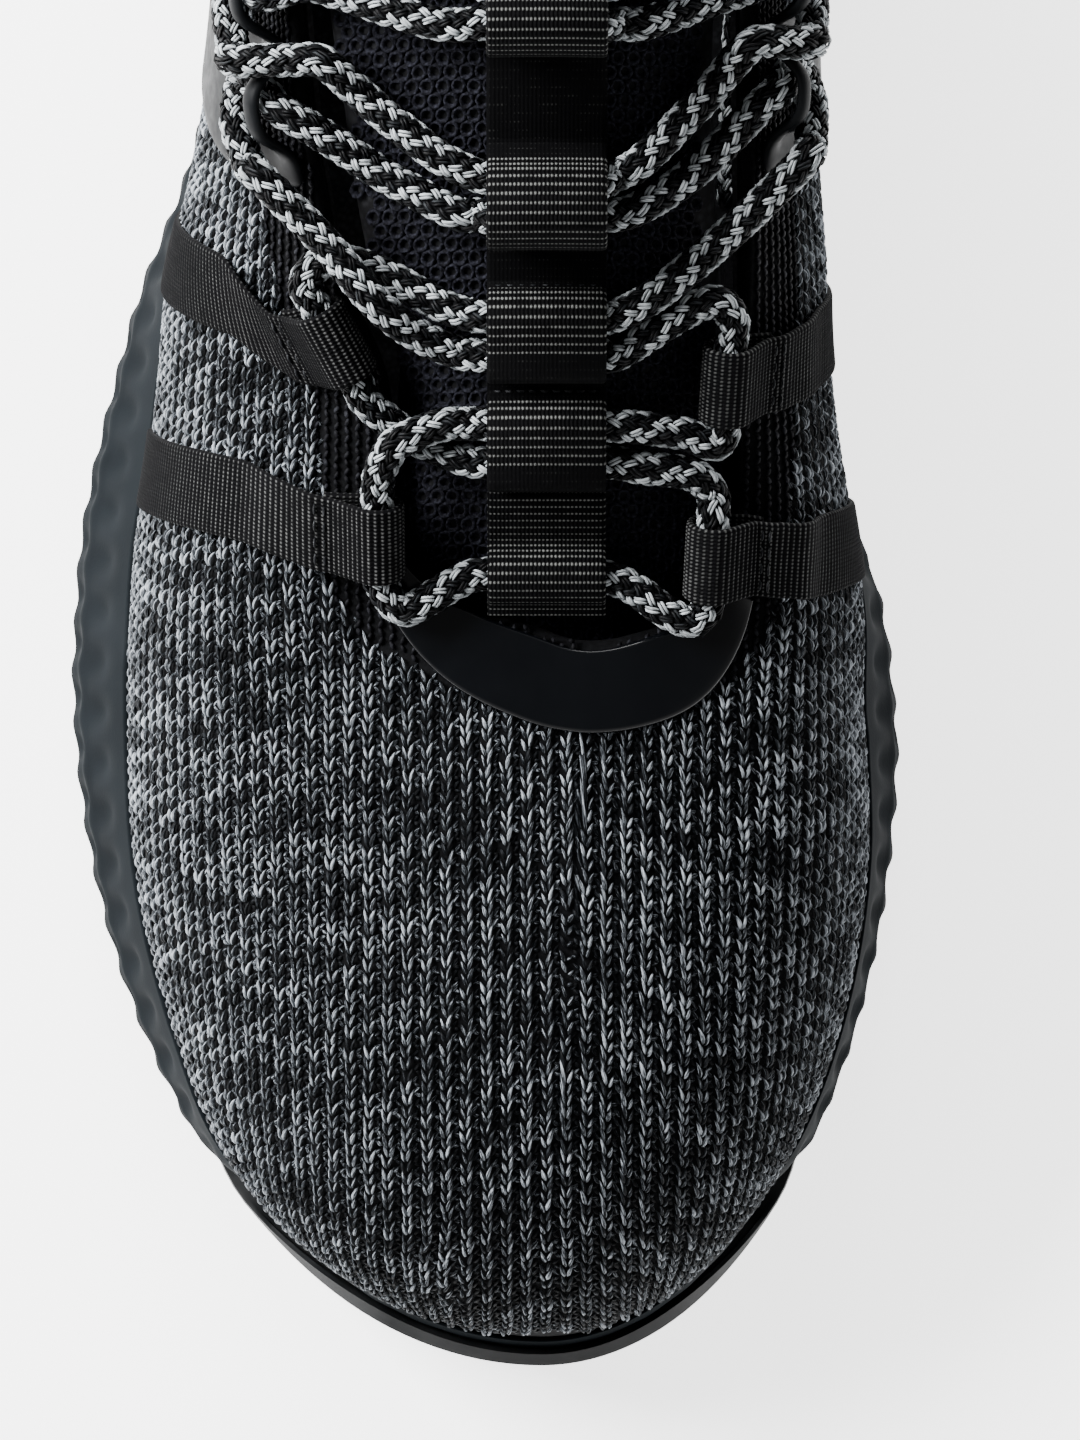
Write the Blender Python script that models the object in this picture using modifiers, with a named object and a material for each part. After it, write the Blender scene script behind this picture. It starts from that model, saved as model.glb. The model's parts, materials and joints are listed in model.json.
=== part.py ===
"""Running shoe for the right foot, standing on flat ground.

Frame: the origin is on the ground under the middle of the shoe, +Z is up, the toe points to -Y and
the inner (medial) side of the foot is at +X. Shape tables are in millimetres. A station is the
distance from the tip of the toe, so y = station - LENGTH / 2.

An angle goes once round the shoe: 0 at the tip of the toe, then along the outer (lateral) side, pi at
the heel, and back along the inner side. A rise of 0 on the upper is its line along the sole, and 1 is
its edge along the throat and the collar.
"""

import bisect
import math

import bmesh
import bpy
import numpy as np
from mathutils import Vector

MM = 0.001
LENGTH = 300.0
LATERAL, MEDIAL = -1, 1
RING_POINTS = 56
GAP = 0.3

# Plan of the sole: quarter ellipses round the toe and the heel, and half-breadths between them.
AXIS_X = ((0, 7.8), (200, 7.8), (300, 6))
TOE_ELLIPSE = {LATERAL: (98.0, 66.0), MEDIAL: (88.0, 50.0)}
HEEL_ELLIPSE_START = 248.0
HALF_BREADTH = {
    LATERAL: ((98, 66), (114, 65), (126, 62.8), (138, 59.8), (150, 56.4), (166, 50.1), (180, 46.6),
              (195, 44.6), (220, 43.6), (248, 43.5)),
    MEDIAL: ((88, 50), (105, 48), (118, 43.5), (130, 38.5), (145, 33.5), (160, 31), (175, 31.5),
             (195, 34.5), (220, 38.5), (248, 41)),
}

# Heights of the sole: the line where the knit meets it, the bed that the foot rests over, the arch.
BITE_HEIGHT = ((0, 20.5), (15, 21), (40, 21.5), (70, 22.5), (100, 24), (130, 26), (160, 29),
               (190, 32.5), (220, 35.5), (250, 38), (280, 41), (300, 43))
BED_HEIGHT = ((0, 14.5), (30, 14.5), (70, 16), (100, 17.5), (130, 19.5), (160, 22), (190, 25),
              (220, 28), (250, 30), (300, 31))
ARCH_RISE, ARCH = 4.2, (112, 128, 206, 222)
TOE_SPRING, TOE_SPRING_LENGTH = 7.0, 40.0
HEEL_BEVEL, HEEL_BEVEL_LENGTH = 2.5, 16.0
OUTSOLE_THICKNESS = 3.0
FOREFOOT_OUTSOLE_END, HEEL_OUTSOLE_START = 119.0, 217.0
BUMPER_RISE, BUMPER_THICKNESS, BUMPER_END = 9.5, 2.2, 22.0

# The upper: how far it stands in from the sole's edge, how far its wall bulges, how straight it is.
UPPER_THICKNESS = 2.4
FEATHER_INSET = {
    LATERAL: ((0, 4.2), (10, 3.9), (20, 3.3), (30, 3.6), (45, 5.5), (65, 7), (90, 9), (126, 9),
              (140, 7.5), (155, 5.5), (180, 4.5), (300, 5)),
    MEDIAL: ((0, 4.2), (15, 3.7), (30, 3.3), (50, 3.6), (70, 4.5), (90, 6), (105, 4.5), (118, 2.5),
             (140, 2), (200, 3), (300, 5)),
}
BULGE = {
    LATERAL: ((0, 1), (12, 4), (30, 1.5), (60, 0.5), (100, 1), (126, 2), (150, 4), (165, 5), (200, 4.5),
              (250, 3.5), (300, 2)),
    MEDIAL: ((0, 1), (20, 1.5), (60, 0.3), (90, 0.5), (115, 2), (133, 5.5), (152, 8.5), (170, 8), (190, 6),
             (220, 4), (250, 3), (300, 2)),
}
WALL_POWER = 2.5
STRAIGHTNESS = ((0, 0.22), (60, 0.25), (100, 0.33), (140, 0.45), (180, 0.6), (220, 0.8), (300, 0.9))

# The edge of the upper: (station along the sole, x, station, height) for each side. Round the heel its
# breadth closes with the sole's ellipse.
OPENING = {
    LATERAL: ((0, 14.5, 100.6, 63), (8, 11.8, 100.85, 62.9), (30, 7, 102.5, 62.8),
              (55, -1, 105, 62.3), (75, -8, 108.5, 62),
              (90, -11.5, 113, 63), (105, -12, 119, 65.5), (120, -12, 127, 68.5), (135, -13.5, 137, 72),
              (150, -18.5, 147.5, 76), (165, -22, 160, 81.5), (180, -24.5, 174, 88), (195, -26, 188, 94),
              (208, -27, 201, 98.5), (220, -27, 212, 100), (235, -26, 226, 92), (250, -25, 242, 80),
              (265, -24.5, 258, 73), (278, -24, 272.5, 75), (290, -23.5, 286, 85), (300, -23, 293.5, 93)),
    MEDIAL: ((0, 14.5, 100.6, 63), (7, 16.7, 100.75, 62.9), (25, 20, 101.5, 62.8),
             (45, 26, 103.5, 62), (62, 31, 107.5, 61.5),
             (78, 33.5, 112.5, 62), (95, 34.2, 119, 64.5), (112, 34.3, 127, 68), (130, 34.8, 137, 72.5),
             (147, 35.6, 148, 77.5), (163, 36, 160, 82.5), (178, 36, 174, 89), (193, 36, 188, 95),
             (206, 36.5, 201, 99.5), (218, 37, 212, 101), (235, 36, 226, 94), (250, 35, 242, 83),
             (265, 35, 258, 76), (278, 35, 272.5, 77), (290, 35, 286, 86), (300, 35, 293.5, 93)),
}

COLLAR_X = 6.5

# The tongue: the height of its ridge, and how far it reaches past the throat's edges.
CENTRE_X = 8.5
TONGUE_START, TONGUE_HINGE, TONGUE_END = 88.0, 206.0, 229.0
TONGUE_RIDGE = ((85, 50.5), (95, 54.5), (101, 57.3), (105, 59.3), (110, 63.3), (120, 70.6), (133, 78.5),
                (146, 85.5), (160, 93), (175, 101), (190, 108.5), (205, 116), (215, 121), (229, 127))
TONGUE_MARGIN = ((88, 3), (107, 3.5), (130, 1.0), (142, -2.2), (158, -3.6), (172, -4.4), (189, -4.6),
                 (198, -9.8), (220, -10), (229, -14))
TONGUE_THICKNESS = 4.5
THROAT_SETTLES = 113.0

LACE_DIAMETER = 4.6
LACE_LIFT = 2.7
WEBBING_THICKNESS = 1.0
LOOP_WIDTH, KEEPER_WIDTH = 11.0, 16.0

# Lace loops: station at the sole, station at the throat, reach past the throat's edge, how far the loop
# stands off near the throat to clear the crescent, and the station whose edge its eye lies along.
LACE_LOOPS = {
    (LATERAL, "front"): (125.0, 99.0, 1.0, 1.8, 99.0),
    (LATERAL, "rear"): (156.0, 142.5, 0.5, 0.3, 142.5),
    (MEDIAL, "front"): (115.5, 70.0, 8.0, 3.0, 92.0),
    (MEDIAL, "rear"): (148.0, 127.0, 7.5, 0.3, 127.0),
}
LOOP_BASE = 1.0
LOOP_EYE = LACE_DIAMETER / 2 + 0.25 + WEBBING_THICKNESS / 2

# Windows of the lace cages: first and last station along the sole.
CAGE_WINDOWS = ((172.0, 184.0), (187.5, 199.5), (203.0, 215.0))
CAGE_THICKNESS = 1.6
BAR_LIFT = 6.0

# Crossings of the lace under the centre webbing: station, and whether the strands swap places there.
CROSSINGS = ((128.3, False), (142.4, False), (160.6, True), (185.2, True))
STITCH_STATIONS = (121.3, 135.3, 149.3, 167.4, 191.9)

# How the webbing passes over the lace: (distance from the crossing, lift), over two strands side by side,
# over two that swap places, and over the single one under the bottom tab.
KEEPER_FLAT = ((-6.5, 0.8), (-5.8, 1.2), (-5.5, 2.6), (-5.0, 4.5), (-3.9, 5.6), (-2.4, 5.9), (0, 5.95),
               (2.4, 5.9), (3.9, 5.6), (5.0, 4.5), (5.5, 2.6), (5.8, 1.2), (6.5, 0.8))
KEEPER_STACK = ((-6.6, 0.8), (-5.9, 1.2), (-5.5, 2.6), (-4.9, 5.6), (-4.75, 6.8), (-3.9, 8.4), (-2.2, 9.9),
                (0, 10.7), (2.2, 9.9), (3.9, 8.4), (4.75, 6.8), (4.9, 5.6), (5.5, 2.6), (5.9, 1.2),
                (6.6, 0.8))
# The bottom tab's middle line as (station, height).
TAB_LINE = ((104.0, 65.0), (105.0, 65.4), (105.9, 66.4), (106.4, 67.9), (107.8, 69.3), (109.8, 69.9),
            (111.6, 69.1), (112.7, 68.0), (114.2, 67.7), (116.0, 69.0), (118.0, 70.4), (120.6, 72.2))

HEEL_LOOP_RISE, HEEL_LOOP_BASE = 0.84, 1.0


def along(pairs, at):
    """The value at a station of a smooth curve through (station, value) pairs, level beyond its ends."""
    stations = [pair[0] for pair in pairs]
    values = [pair[1] for pair in pairs]
    if at <= stations[0]:
        return values[0]
    if at >= stations[-1]:
        return values[-1]
    i = bisect.bisect_right(stations, at) - 1
    span = stations[i + 1] - stations[i]
    slopes = []
    for k in (i, i + 1):
        low, high = max(k - 1, 0), min(k + 1, len(values) - 1)
        slopes.append((values[high] - values[low]) / (stations[high] - stations[low]) * span)
    s = (at - stations[i]) / span
    return (
        values[i] * (1 + 2 * s) * (1 - s) ** 2
        + slopes[0] * s * (1 - s) ** 2
        + values[i + 1] * s * s * (3 - 2 * s)
        - slopes[1] * s * s * (1 - s)
    )


def ramp(at, start, end):
    """0 before start, 1 after end, smooth between."""
    s = min(max((at - start) / (end - start), 0.0), 1.0)
    return s * s * (3 - 2 * s)


def side_and_station(angle):
    side = LATERAL if math.sin(angle) >= 0 else MEDIAL
    return side, LENGTH / 2 * (1 - math.cos(angle))


def angle_at(side, at):
    angle = math.acos(1 - 2 * at / LENGTH)
    return angle if side == LATERAL else 2 * math.pi - angle


def heel_closing(at):
    """What is left of the breadth round the heel."""
    turn = max(at - HEEL_ELLIPSE_START, 0) / (LENGTH - HEEL_ELLIPSE_START)
    return math.sqrt(max(1 - turn * turn, 0))


def outline(angle):
    """The plan (x, station) of the sole's widest edge."""
    side, at = side_and_station(angle)
    length, breadth = TOE_ELLIPSE[side]
    if at < length:
        half = breadth * math.sqrt(1 - (1 - at / length) ** 2)
    else:
        half = along(HALF_BREADTH[side], at)
    return np.array((along(AXIS_X, at) + side * half * heel_closing(at), at))


def outward(angle):
    step = outline(angle + 0.01) - outline(angle - 0.01)
    return np.array((-step[1], step[0])) / np.linalg.norm(step)


def edge(angle, inset, height):
    """A point the given distance inside the sole's edge. Its height is a function of its own station."""
    x, at = outline(angle) - inset * outward(angle)
    return np.array((x, at, height(at)))


def bite_height(at):
    return along(BITE_HEIGHT, at)


def bed_height(at):
    return along(BED_HEIGHT, at)


def feather_inset(angle):
    side, at = side_and_station(angle)
    return along(FEATHER_INSET[side], at)


def opening(angle):
    side, at = side_and_station(angle)
    rows = OPENING[side]
    x, station, height = [along([(row[0], row[k]) for row in rows], at) for k in (1, 2, 3)]
    return np.array((COLLAR_X + (x - COLLAR_X) * heel_closing(at), station, height))


def upper_point(angle, rise):
    """A point on the outer face of the upper. Below 0 it runs down inside the sole's rim."""
    side, at = side_and_station(angle)
    foot = edge(angle, feather_inset(angle), bite_height)
    if rise < 0:
        return foot + (0, 0, rise * (foot[2] - bed_height(foot[1]) - GAP))
    if rise > 1:
        last = upper_point(angle, 1)
        return last + (rise - 1) * (last - upper_point(angle, 0.97)) / 0.03
    top = opening(angle)
    straight = along(STRAIGHTNESS, at)
    turn = rise * math.pi / 2
    power = 2 / WALL_POWER
    inwards = (1 - straight) * (1 - math.cos(turn) ** power) + straight * rise
    upwards = (1 - straight) * math.sin(turn) ** power + straight * rise
    bulge = along(BULGE[side], at) * math.sin(math.pi * rise**0.8)
    point = foot + (top - foot) * (inwards, inwards, upwards)
    return point + bulge * np.array((*outward(angle), 0))


def upper_normal(angle, rise):
    rise = min(max(rise, 0.02), 0.98)
    up = upper_point(angle, rise + 0.02) - upper_point(angle, rise - 0.02)
    round_shoe = upper_point(angle + 0.02, rise) - upper_point(angle - 0.02, rise)
    normal = np.cross(up, round_shoe)
    return normal / np.linalg.norm(normal)


def on_upper(angle, rise, lift):
    return upper_point(angle, rise) + lift * upper_normal(angle, rise)


def throat_edge(side, at):
    """x and height of the upper's edge beside the tongue."""
    rows = OPENING[side]
    at = max(at, THROAT_SETTLES)
    return along([(row[2], row[1]) for row in rows], at), along([(row[2], row[3]) for row in rows], at)


def tongue_point(x, at):
    """A point on the outer face of the tongue, which arches between the throat's edges."""
    side = LATERAL if x < CENTRE_X else MEDIAL
    edge_x, edge_height = throat_edge(side, at)
    settle = max(at, THROAT_SETTLES)
    drop = along(TONGUE_RIDGE, settle) - (edge_height - UPPER_THICKNESS - 2.8)
    across = (x - CENTRE_X) / (edge_x - CENTRE_X)
    return np.array((x, at, along(TONGUE_RIDGE, at) - drop * across * across))


def on_tongue(x, at, lift):
    up = tongue_point(x, at + 1) - tongue_point(x, at - 1)
    across = tongue_point(x + 1, at) - tongue_point(x - 1, at)
    normal = np.cross(across, up)
    return tongue_point(x, at) + lift * normal / np.linalg.norm(normal)


def placed(point):
    """A point of the shape, in millimetres, as a vector of the frame in metres."""
    x, at, height = point
    return Vector((x * MM, (at - LENGTH / 2) * MM, height * MM))


def clear_scene():
    for obj in list(bpy.data.objects):
        bpy.data.objects.remove(obj, do_unlink=True)


def collection(name):
    found = bpy.data.collections.new(name)
    bpy.context.scene.collection.children.link(found)
    return found


def material(name, colour, roughness, metallic=0.0):
    made = bpy.data.materials.new(name)
    made.use_nodes = True
    shader = made.node_tree.nodes["Principled BSDF"]
    shader.inputs["Base Color"].default_value = (*colour, 1)
    shader.inputs["Roughness"].default_value = roughness
    shader.inputs["Metallic"].default_value = metallic
    return made


def add_object(name, data, finish, group):
    obj = bpy.data.objects.new(name, data)
    group.objects.link(obj)
    if finish is not None:
        data.materials.append(finish)
    return obj


def mesh_object(name, points, faces, finish, group):
    """A smooth-shaded object from points of the shape and faces by index, its normals facing out."""
    mesh = bpy.data.meshes.new(name)
    mesh.from_pydata([placed(point) for point in points], [], faces)
    work = bmesh.new()
    work.from_mesh(mesh)
    bmesh.ops.remove_doubles(work, verts=work.verts, dist=1e-6)
    bmesh.ops.recalc_face_normals(work, faces=work.faces)
    if work.calc_volume(signed=True) < 0:
        bmesh.ops.reverse_faces(work, faces=work.faces)
    work.to_mesh(mesh)
    work.free()
    mesh.shade_smooth()
    mesh.set_sharp_from_angle(angle=math.radians(40))
    return add_object(name, mesh, finish, group)


def move_origin(obj, origin):
    """Puts an object's origin at a point of the frame and leaves its shape where it is."""
    for vertex in obj.data.vertices:
        vertex.co -= origin
    obj.location = origin


def ring_angles():
    return [2 * math.pi * i / RING_POINTS for i in range(RING_POINTS)]


def sole_ring(inset, height):
    """A ring round the shoe, from its inset at each angle and its height at each station."""
    return [edge(angle, inset(angle), height) for angle in ring_angles()]


def cap_faces(first, count):
    """Strips across the shoe that close a ring."""
    faces = [(first, first + 1, first + count - 1)]
    for i in range(1, count // 2 - 1):
        faces.append((first + i, first + i + 1, first + count - i - 1, first + count - i))
    middle = count // 2
    faces.append((first + middle - 1, first + middle, first + middle + 1))
    return faces


def closed_loft(name, rings, finish, group):
    """A solid through rings of equal count, with both end rings closed."""
    count = len(rings[0])
    faces = []
    for k in range(len(rings) - 1):
        for i in range(count):
            j = (i + 1) % count
            faces.append((k * count + i, k * count + j, (k + 1) * count + j, (k + 1) * count + i))
    faces += cap_faces(0, count) + cap_faces((len(rings) - 1) * count, count)
    return mesh_object(name, [point for ring in rings for point in ring], faces, finish, group)


def slab(name, outer, inner, finish, group):
    """A solid between two grids of points with the same rows and columns."""
    rows, columns = len(outer), len(outer[0])
    points = [point for grid in (outer, inner) for row in grid for point in row]
    back = rows * columns
    faces = []
    for r in range(rows - 1):
        for c in range(columns - 1):
            a, b, d, e = (r * columns + c, r * columns + c + 1, (r + 1) * columns + c + 1,
                          (r + 1) * columns + c)
            faces.append((a, b, d, e))
            faces.append((back + e, back + d, back + b, back + a))
    border = [(0, c) for c in range(columns)] + [(r, columns - 1) for r in range(1, rows)]
    border += [(rows - 1, c) for c in range(columns - 2, -1, -1)]
    border += [(r, 0) for r in range(rows - 2, 0, -1)]
    for (r, c), (r2, c2) in zip(border, border[1:] + border[:1]):
        a, b = r * columns + c, r2 * columns + c2
        faces.append((b, a, back + a, back + b))
    return mesh_object(name, points, faces, finish, group)


def upper_slab(name, angles, rises, near, far, finish, group):
    """A solid that follows the upper between two lifts, each a function of the angle and the rise."""
    outer = [[on_upper(a, r, far(a, r)) for a in angles] for r in rises]
    inner = [[on_upper(a, r, near(a, r)) for a in angles] for r in rises]
    return slab(name, outer, inner, finish, group)


def solidify(obj, thickness, offset):
    modifier = obj.modifiers.new("Thickness", "SOLIDIFY")
    modifier.thickness = thickness * MM
    modifier.offset = offset
    modifier.use_even_offset = True
    return obj


def spaced(start, end, count):
    return [start + (end - start) * i / (count - 1) for i in range(count)]


def ground_line(at):
    """The height of the tread above the ground."""
    toe = max(1 - at / TOE_SPRING_LENGTH, 0)
    heel = max((at - LENGTH + HEEL_BEVEL_LENGTH) / HEEL_BEVEL_LENGTH, 0)
    return TOE_SPRING * toe * toe + HEEL_BEVEL * heel * heel


def wall_share(angle):
    """1 at the front of the toe bumper, 0 where the outsole has no wall."""
    return 1 - ramp(side_and_station(angle)[1], 4.0, BUMPER_END)


def hug_share(angle, end):
    """1 round the toe, 0 behind it, fading out up to the given station."""
    return 1 - ramp(side_and_station(angle)[1], BUMPER_END, end)


def midsole_underside(at):
    arch = ARCH_RISE * ramp(at, ARCH[0], ARCH[1]) * (1 - ramp(at, ARCH[2], ARCH[3]))
    return ground_line(at) + OUTSOLE_THICKNESS + GAP + arch


def make_midsole(finish, group):
    def set_back(angle):
        return hug_share(angle, 34) * (BUMPER_THICKNESS + GAP)

    def wall(share):
        return lambda at: midsole_underside(at) + share * (bite_height(at) - midsole_underside(at))

    def wall_inset(share):
        return lambda angle: max(set_back(angle), share * (feather_inset(angle) - 1.4))

    rings = [
        sole_ring(lambda a: feather_inset(a) + 2, bed_height),
        sole_ring(lambda a: feather_inset(a) - GAP, lambda at: bed_height(at) + 0.2),
        sole_ring(lambda a: feather_inset(a) - GAP, lambda at: bite_height(at) - 0.4),
        sole_ring(lambda a: feather_inset(a) - 1.4 + 0.2 * set_back(a), bite_height),
        sole_ring(wall_inset(0.62), wall(0.72)),
        sole_ring(wall_inset(0.2), wall(0.42)),
        sole_ring(wall_inset(0.0), wall(0.2)),
        sole_ring(lambda a: set_back(a) + 1.6, wall(0.05)),
        sole_ring(lambda a: set_back(a) + 4.5, midsole_underside),
    ]
    return closed_loft("midsole", rings, finish, group)


def outsole_loft(name, finish, group):
    """The whole outsole: a plate with a wall round the toe."""
    def side_inset(extra):
        return lambda angle: 4.2 * (1 - hug_share(angle, 42)) + extra

    def wall_inner(extra):
        return lambda a: side_inset(0.8 + (BUMPER_THICKNESS - 0.8) * wall_share(a) + extra)(a)

    def plate(height):
        return lambda at: ground_line(at) + height

    def wall_ring(inset, drop):
        """A ring along the top of the wall, which fades into the plate behind the toe."""
        ring = []
        for angle in ring_angles():
            x, at = outline(angle) - inset(angle) * outward(angle)
            share = wall_share(angle)
            ring.append(np.array((x, at, plate(OUTSOLE_THICKNESS)(at) + (BUMPER_RISE - drop) * share)))
        return ring

    rings = [
        sole_ring(side_inset(3.0), plate(0)),
        sole_ring(side_inset(0.7), plate(0.8)),
        sole_ring(side_inset(0.0), plate(0.6 * OUTSOLE_THICKNESS)),
        wall_ring(side_inset(0.0), 1.2),
        wall_ring(wall_inner(-0.6), 0.0),
        wall_ring(wall_inner(0.0), 0.8),
        sole_ring(wall_inner(0.15), plate(OUTSOLE_THICKNESS)),
    ]
    rings[3] = [point - (0, 0, 0.4) for point in rings[3]]
    return closed_loft(name, rings, finish, group)


def box_points(x, at, height):
    """The corners of a box from its ranges of x, station and height."""
    return [(x[i], at[j], height[k]) for i in (0, 1) for j in (0, 1) for k in (0, 1)]


def box_cutter(name, boxes, group):
    points, faces = [], []
    for ranges in boxes:
        n = len(points)
        points += box_points(*ranges)
        for quad in ((0, 1, 3, 2), (4, 6, 7, 5), (0, 4, 5, 1), (2, 3, 7, 6), (0, 2, 6, 4), (1, 5, 7, 3)):
            faces.append(tuple(n + corner for corner in quad))
    cutter = mesh_object(name, points, faces, None, group)
    cutter.hide_render = True
    cutter.display_type = "WIRE"
    return cutter


def cut(obj, cutter, operation):
    modifier = obj.modifiers.new(cutter.name, "BOOLEAN")
    modifier.object = cutter
    modifier.operation = operation
    modifier.solver = "EXACT"


def make_outsoles(finish, group, cutters):
    wide, tall = (-90, 90), (-5, 60)
    pieces = (
        ("outsole_forefoot", (-20, FOREFOOT_OUTSOLE_END), (46, 58, 70, 94, 106)),
        ("outsole_heel", (HEEL_OUTSOLE_START, LENGTH + 20), (226, 238, 262, 274)),
    )
    for name, kept, grooves in pieces:
        plate = outsole_loft(name, finish, group)
        cut(plate, box_cutter(f"{name}_extent", [(wide, kept, tall)], cutters), "INTERSECT")
        bars = [(wide, (at - 1.2, at + 1.2), (-5, 1.4)) for at in grooves]
        cut(plate, box_cutter(f"{name}_grooves", bars, cutters), "DIFFERENCE")


def make_shank(finish, group):
    """A waisted plate under the arch."""
    top = OUTSOLE_THICKNESS + ARCH_RISE
    curve = bpy.data.curves.new("midfoot_shank", "CURVE")
    curve.dimensions = "2D"
    curve.fill_mode = "BOTH"
    curve.extrude = 1.0 * MM
    curve.resolution_u = 4
    spline = curve.splines.new("BEZIER")
    corners = ((-14, 134), (-9, 168), (-14, 200), (28, 200), (24, 168), (28, 134))
    spline.bezier_points.add(len(corners) - 1)
    for knot, (x, at) in zip(spline.bezier_points, corners):
        knot.co = placed((x, at, 0))
        knot.handle_left_type = knot.handle_right_type = "VECTOR" if at != 168 else "AUTO"
    spline.use_cyclic_u = True
    plate = add_object("midfoot_shank", curve, finish, group)
    plate.location.z = (top - 1.0) * MM
    return plate


def make_strobel_board(finish, group):
    def inset(angle):
        return feather_inset(angle) + UPPER_THICKNESS + 0.4

    rings = [sole_ring(inset, lambda at, z=z: bed_height(at) + z) for z in (GAP, GAP + 1.5)]
    return closed_loft("strobel_board", rings, finish, group)


def make_sockliner(finish, group):
    def inset(extra):
        def measured(angle):
            _, at = side_and_station(angle)
            return feather_inset(angle) + 3.2 + 2.8 * ramp(at, 200, 228) + extra
        return measured

    def top(at):
        return bed_height(at) + 6.1

    def rim(at):
        return top(at) + 3.6 * ramp(at, 205, 250)

    rings = [
        sole_ring(inset(0.4), lambda at: bed_height(at) + 2.1),
        sole_ring(inset(0.0), lambda at: bed_height(at) + 2.8),
        sole_ring(inset(0.0), lambda at: rim(at) - 0.5),
        sole_ring(inset(1.0), rim),
        sole_ring(inset(6.0), top),
    ]
    return closed_loft("sockliner", rings, finish, group)


def make_upper(finish, group):
    """The knitted shell, an open surface given its thickness inwards."""
    rises = (-1.0, -0.04, 0.06, 0.14, 0.23, 0.33, 0.44, 0.56, 0.68, 0.8, 0.9, 1.0)
    points = [upper_point(angle, rise) for rise in rises for angle in ring_angles()]
    faces = []
    for k in range(len(rises) - 1):
        for i in range(RING_POINTS):
            j = (i + 1) % RING_POINTS
            faces.append((k * RING_POINTS + j, k * RING_POINTS + i, (k + 1) * RING_POINTS + i,
                          (k + 1) * RING_POINTS + j))
    shell = mesh_object("upper_knit", points, faces, finish, group)
    work = bmesh.new()
    work.from_mesh(shell.data)
    if max(work.verts, key=lambda v: v.co.x).normal.x < 0:
        bmesh.ops.reverse_faces(work, faces=work.faces)
    work.to_mesh(shell.data)
    work.free()
    return solidify(shell, UPPER_THICKNESS, -1)


def side_angles(side, start, end, count):
    return [angle_at(side, at) for at in spaced(start, end, count)]


def heel_angles(start, count):
    """Angles round the heel, from a station on the outer side to the same one on the inner side."""
    first = angle_at(LATERAL, start)
    return spaced(first, 2 * math.pi - first, count)


def toe_angles(end, count):
    last = angle_at(LATERAL, end)
    return spaced(-last, last, count)


def flat(lift):
    return lambda angle, rise: lift


def make_stiffeners(finishes, group):
    """The pieces hidden inside the upper, against its inner face."""
    skin = -UPPER_THICKNESS - 2 * GAP
    upper_slab("toe_puff", toe_angles(34, 15), (0.05, 0.12, 0.2, 0.28, 0.36), flat(skin - 0.8), flat(skin),
               finishes["stiffener"], group)
    upper_slab("heel_counter", heel_angles(228, 17), (0.05, 0.18, 0.32, 0.46), flat(skin - 1.2), flat(skin),
               finishes["stiffener"], group)
    for side, word in ((LATERAL, "lateral"), (MEDIAL, "medial")):
        upper_slab(f"eyestay_tape_{word}", side_angles(side, 96, 216, 14), (0.84, 0.92, 0.985),
                   flat(skin - 0.8), flat(skin), finishes["tape"], group)


def padding_depth(angle, rise):
    """The thickness of the collar foam, which swells below the collar's edge and fades out forwards."""
    _, at = side_and_station(angle)
    swell = math.sin(math.pi * min(max((rise - 0.5) / 0.5, 0), 1))
    return 0.6 + 5.0 * swell * (0.35 + 0.65 * ramp(at, 222, 250))


def make_collar(finishes, group):
    skin = -UPPER_THICKNESS - 2 * GAP
    rises = (0.54, 0.63, 0.73, 0.83, 0.91, 0.975)
    upper_slab("collar_padding", heel_angles(224, 19), rises,
               lambda a, r: skin - padding_depth(a, r), flat(skin), finishes["foam"], group)

    def lining_back(angle, rise):
        return -max(UPPER_THICKNESS + 2.7, UPPER_THICKNESS + padding_depth(angle, rise) + 5 * GAP)

    upper_slab("heel_lining", heel_angles(224, 19), (0.04, 0.2, 0.36, 0.5) + rises,
               lambda a, r: lining_back(a, r) - 1.0, lining_back, finishes["lining"], group)


def make_heel_clip(finish, group):
    """The moulded cradle outside the heel, high at the back and low at its ends."""
    angles = heel_angles(232, 21)
    grid = []
    for share in spaced(0, 1, 5):
        row = []
        for angle in angles:
            _, at = side_and_station(angle)
            top = 0.2 + 0.24 * ramp(at, 236, 292)
            row.append(on_upper(angle, 0.03 + share * (top - 0.03), 0.4))
        grid.append(row)
    outer = []
    for share in spaced(0, 1, 5):
        row = []
        for angle in angles:
            _, at = side_and_station(angle)
            top = 0.2 + 0.24 * ramp(at, 236, 292)
            row.append(on_upper(angle, 0.03 + share * (top - 0.03), 1.8))
        outer.append(row)
    return slab("heel_clip", outer, grid, finish, group)


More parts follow.
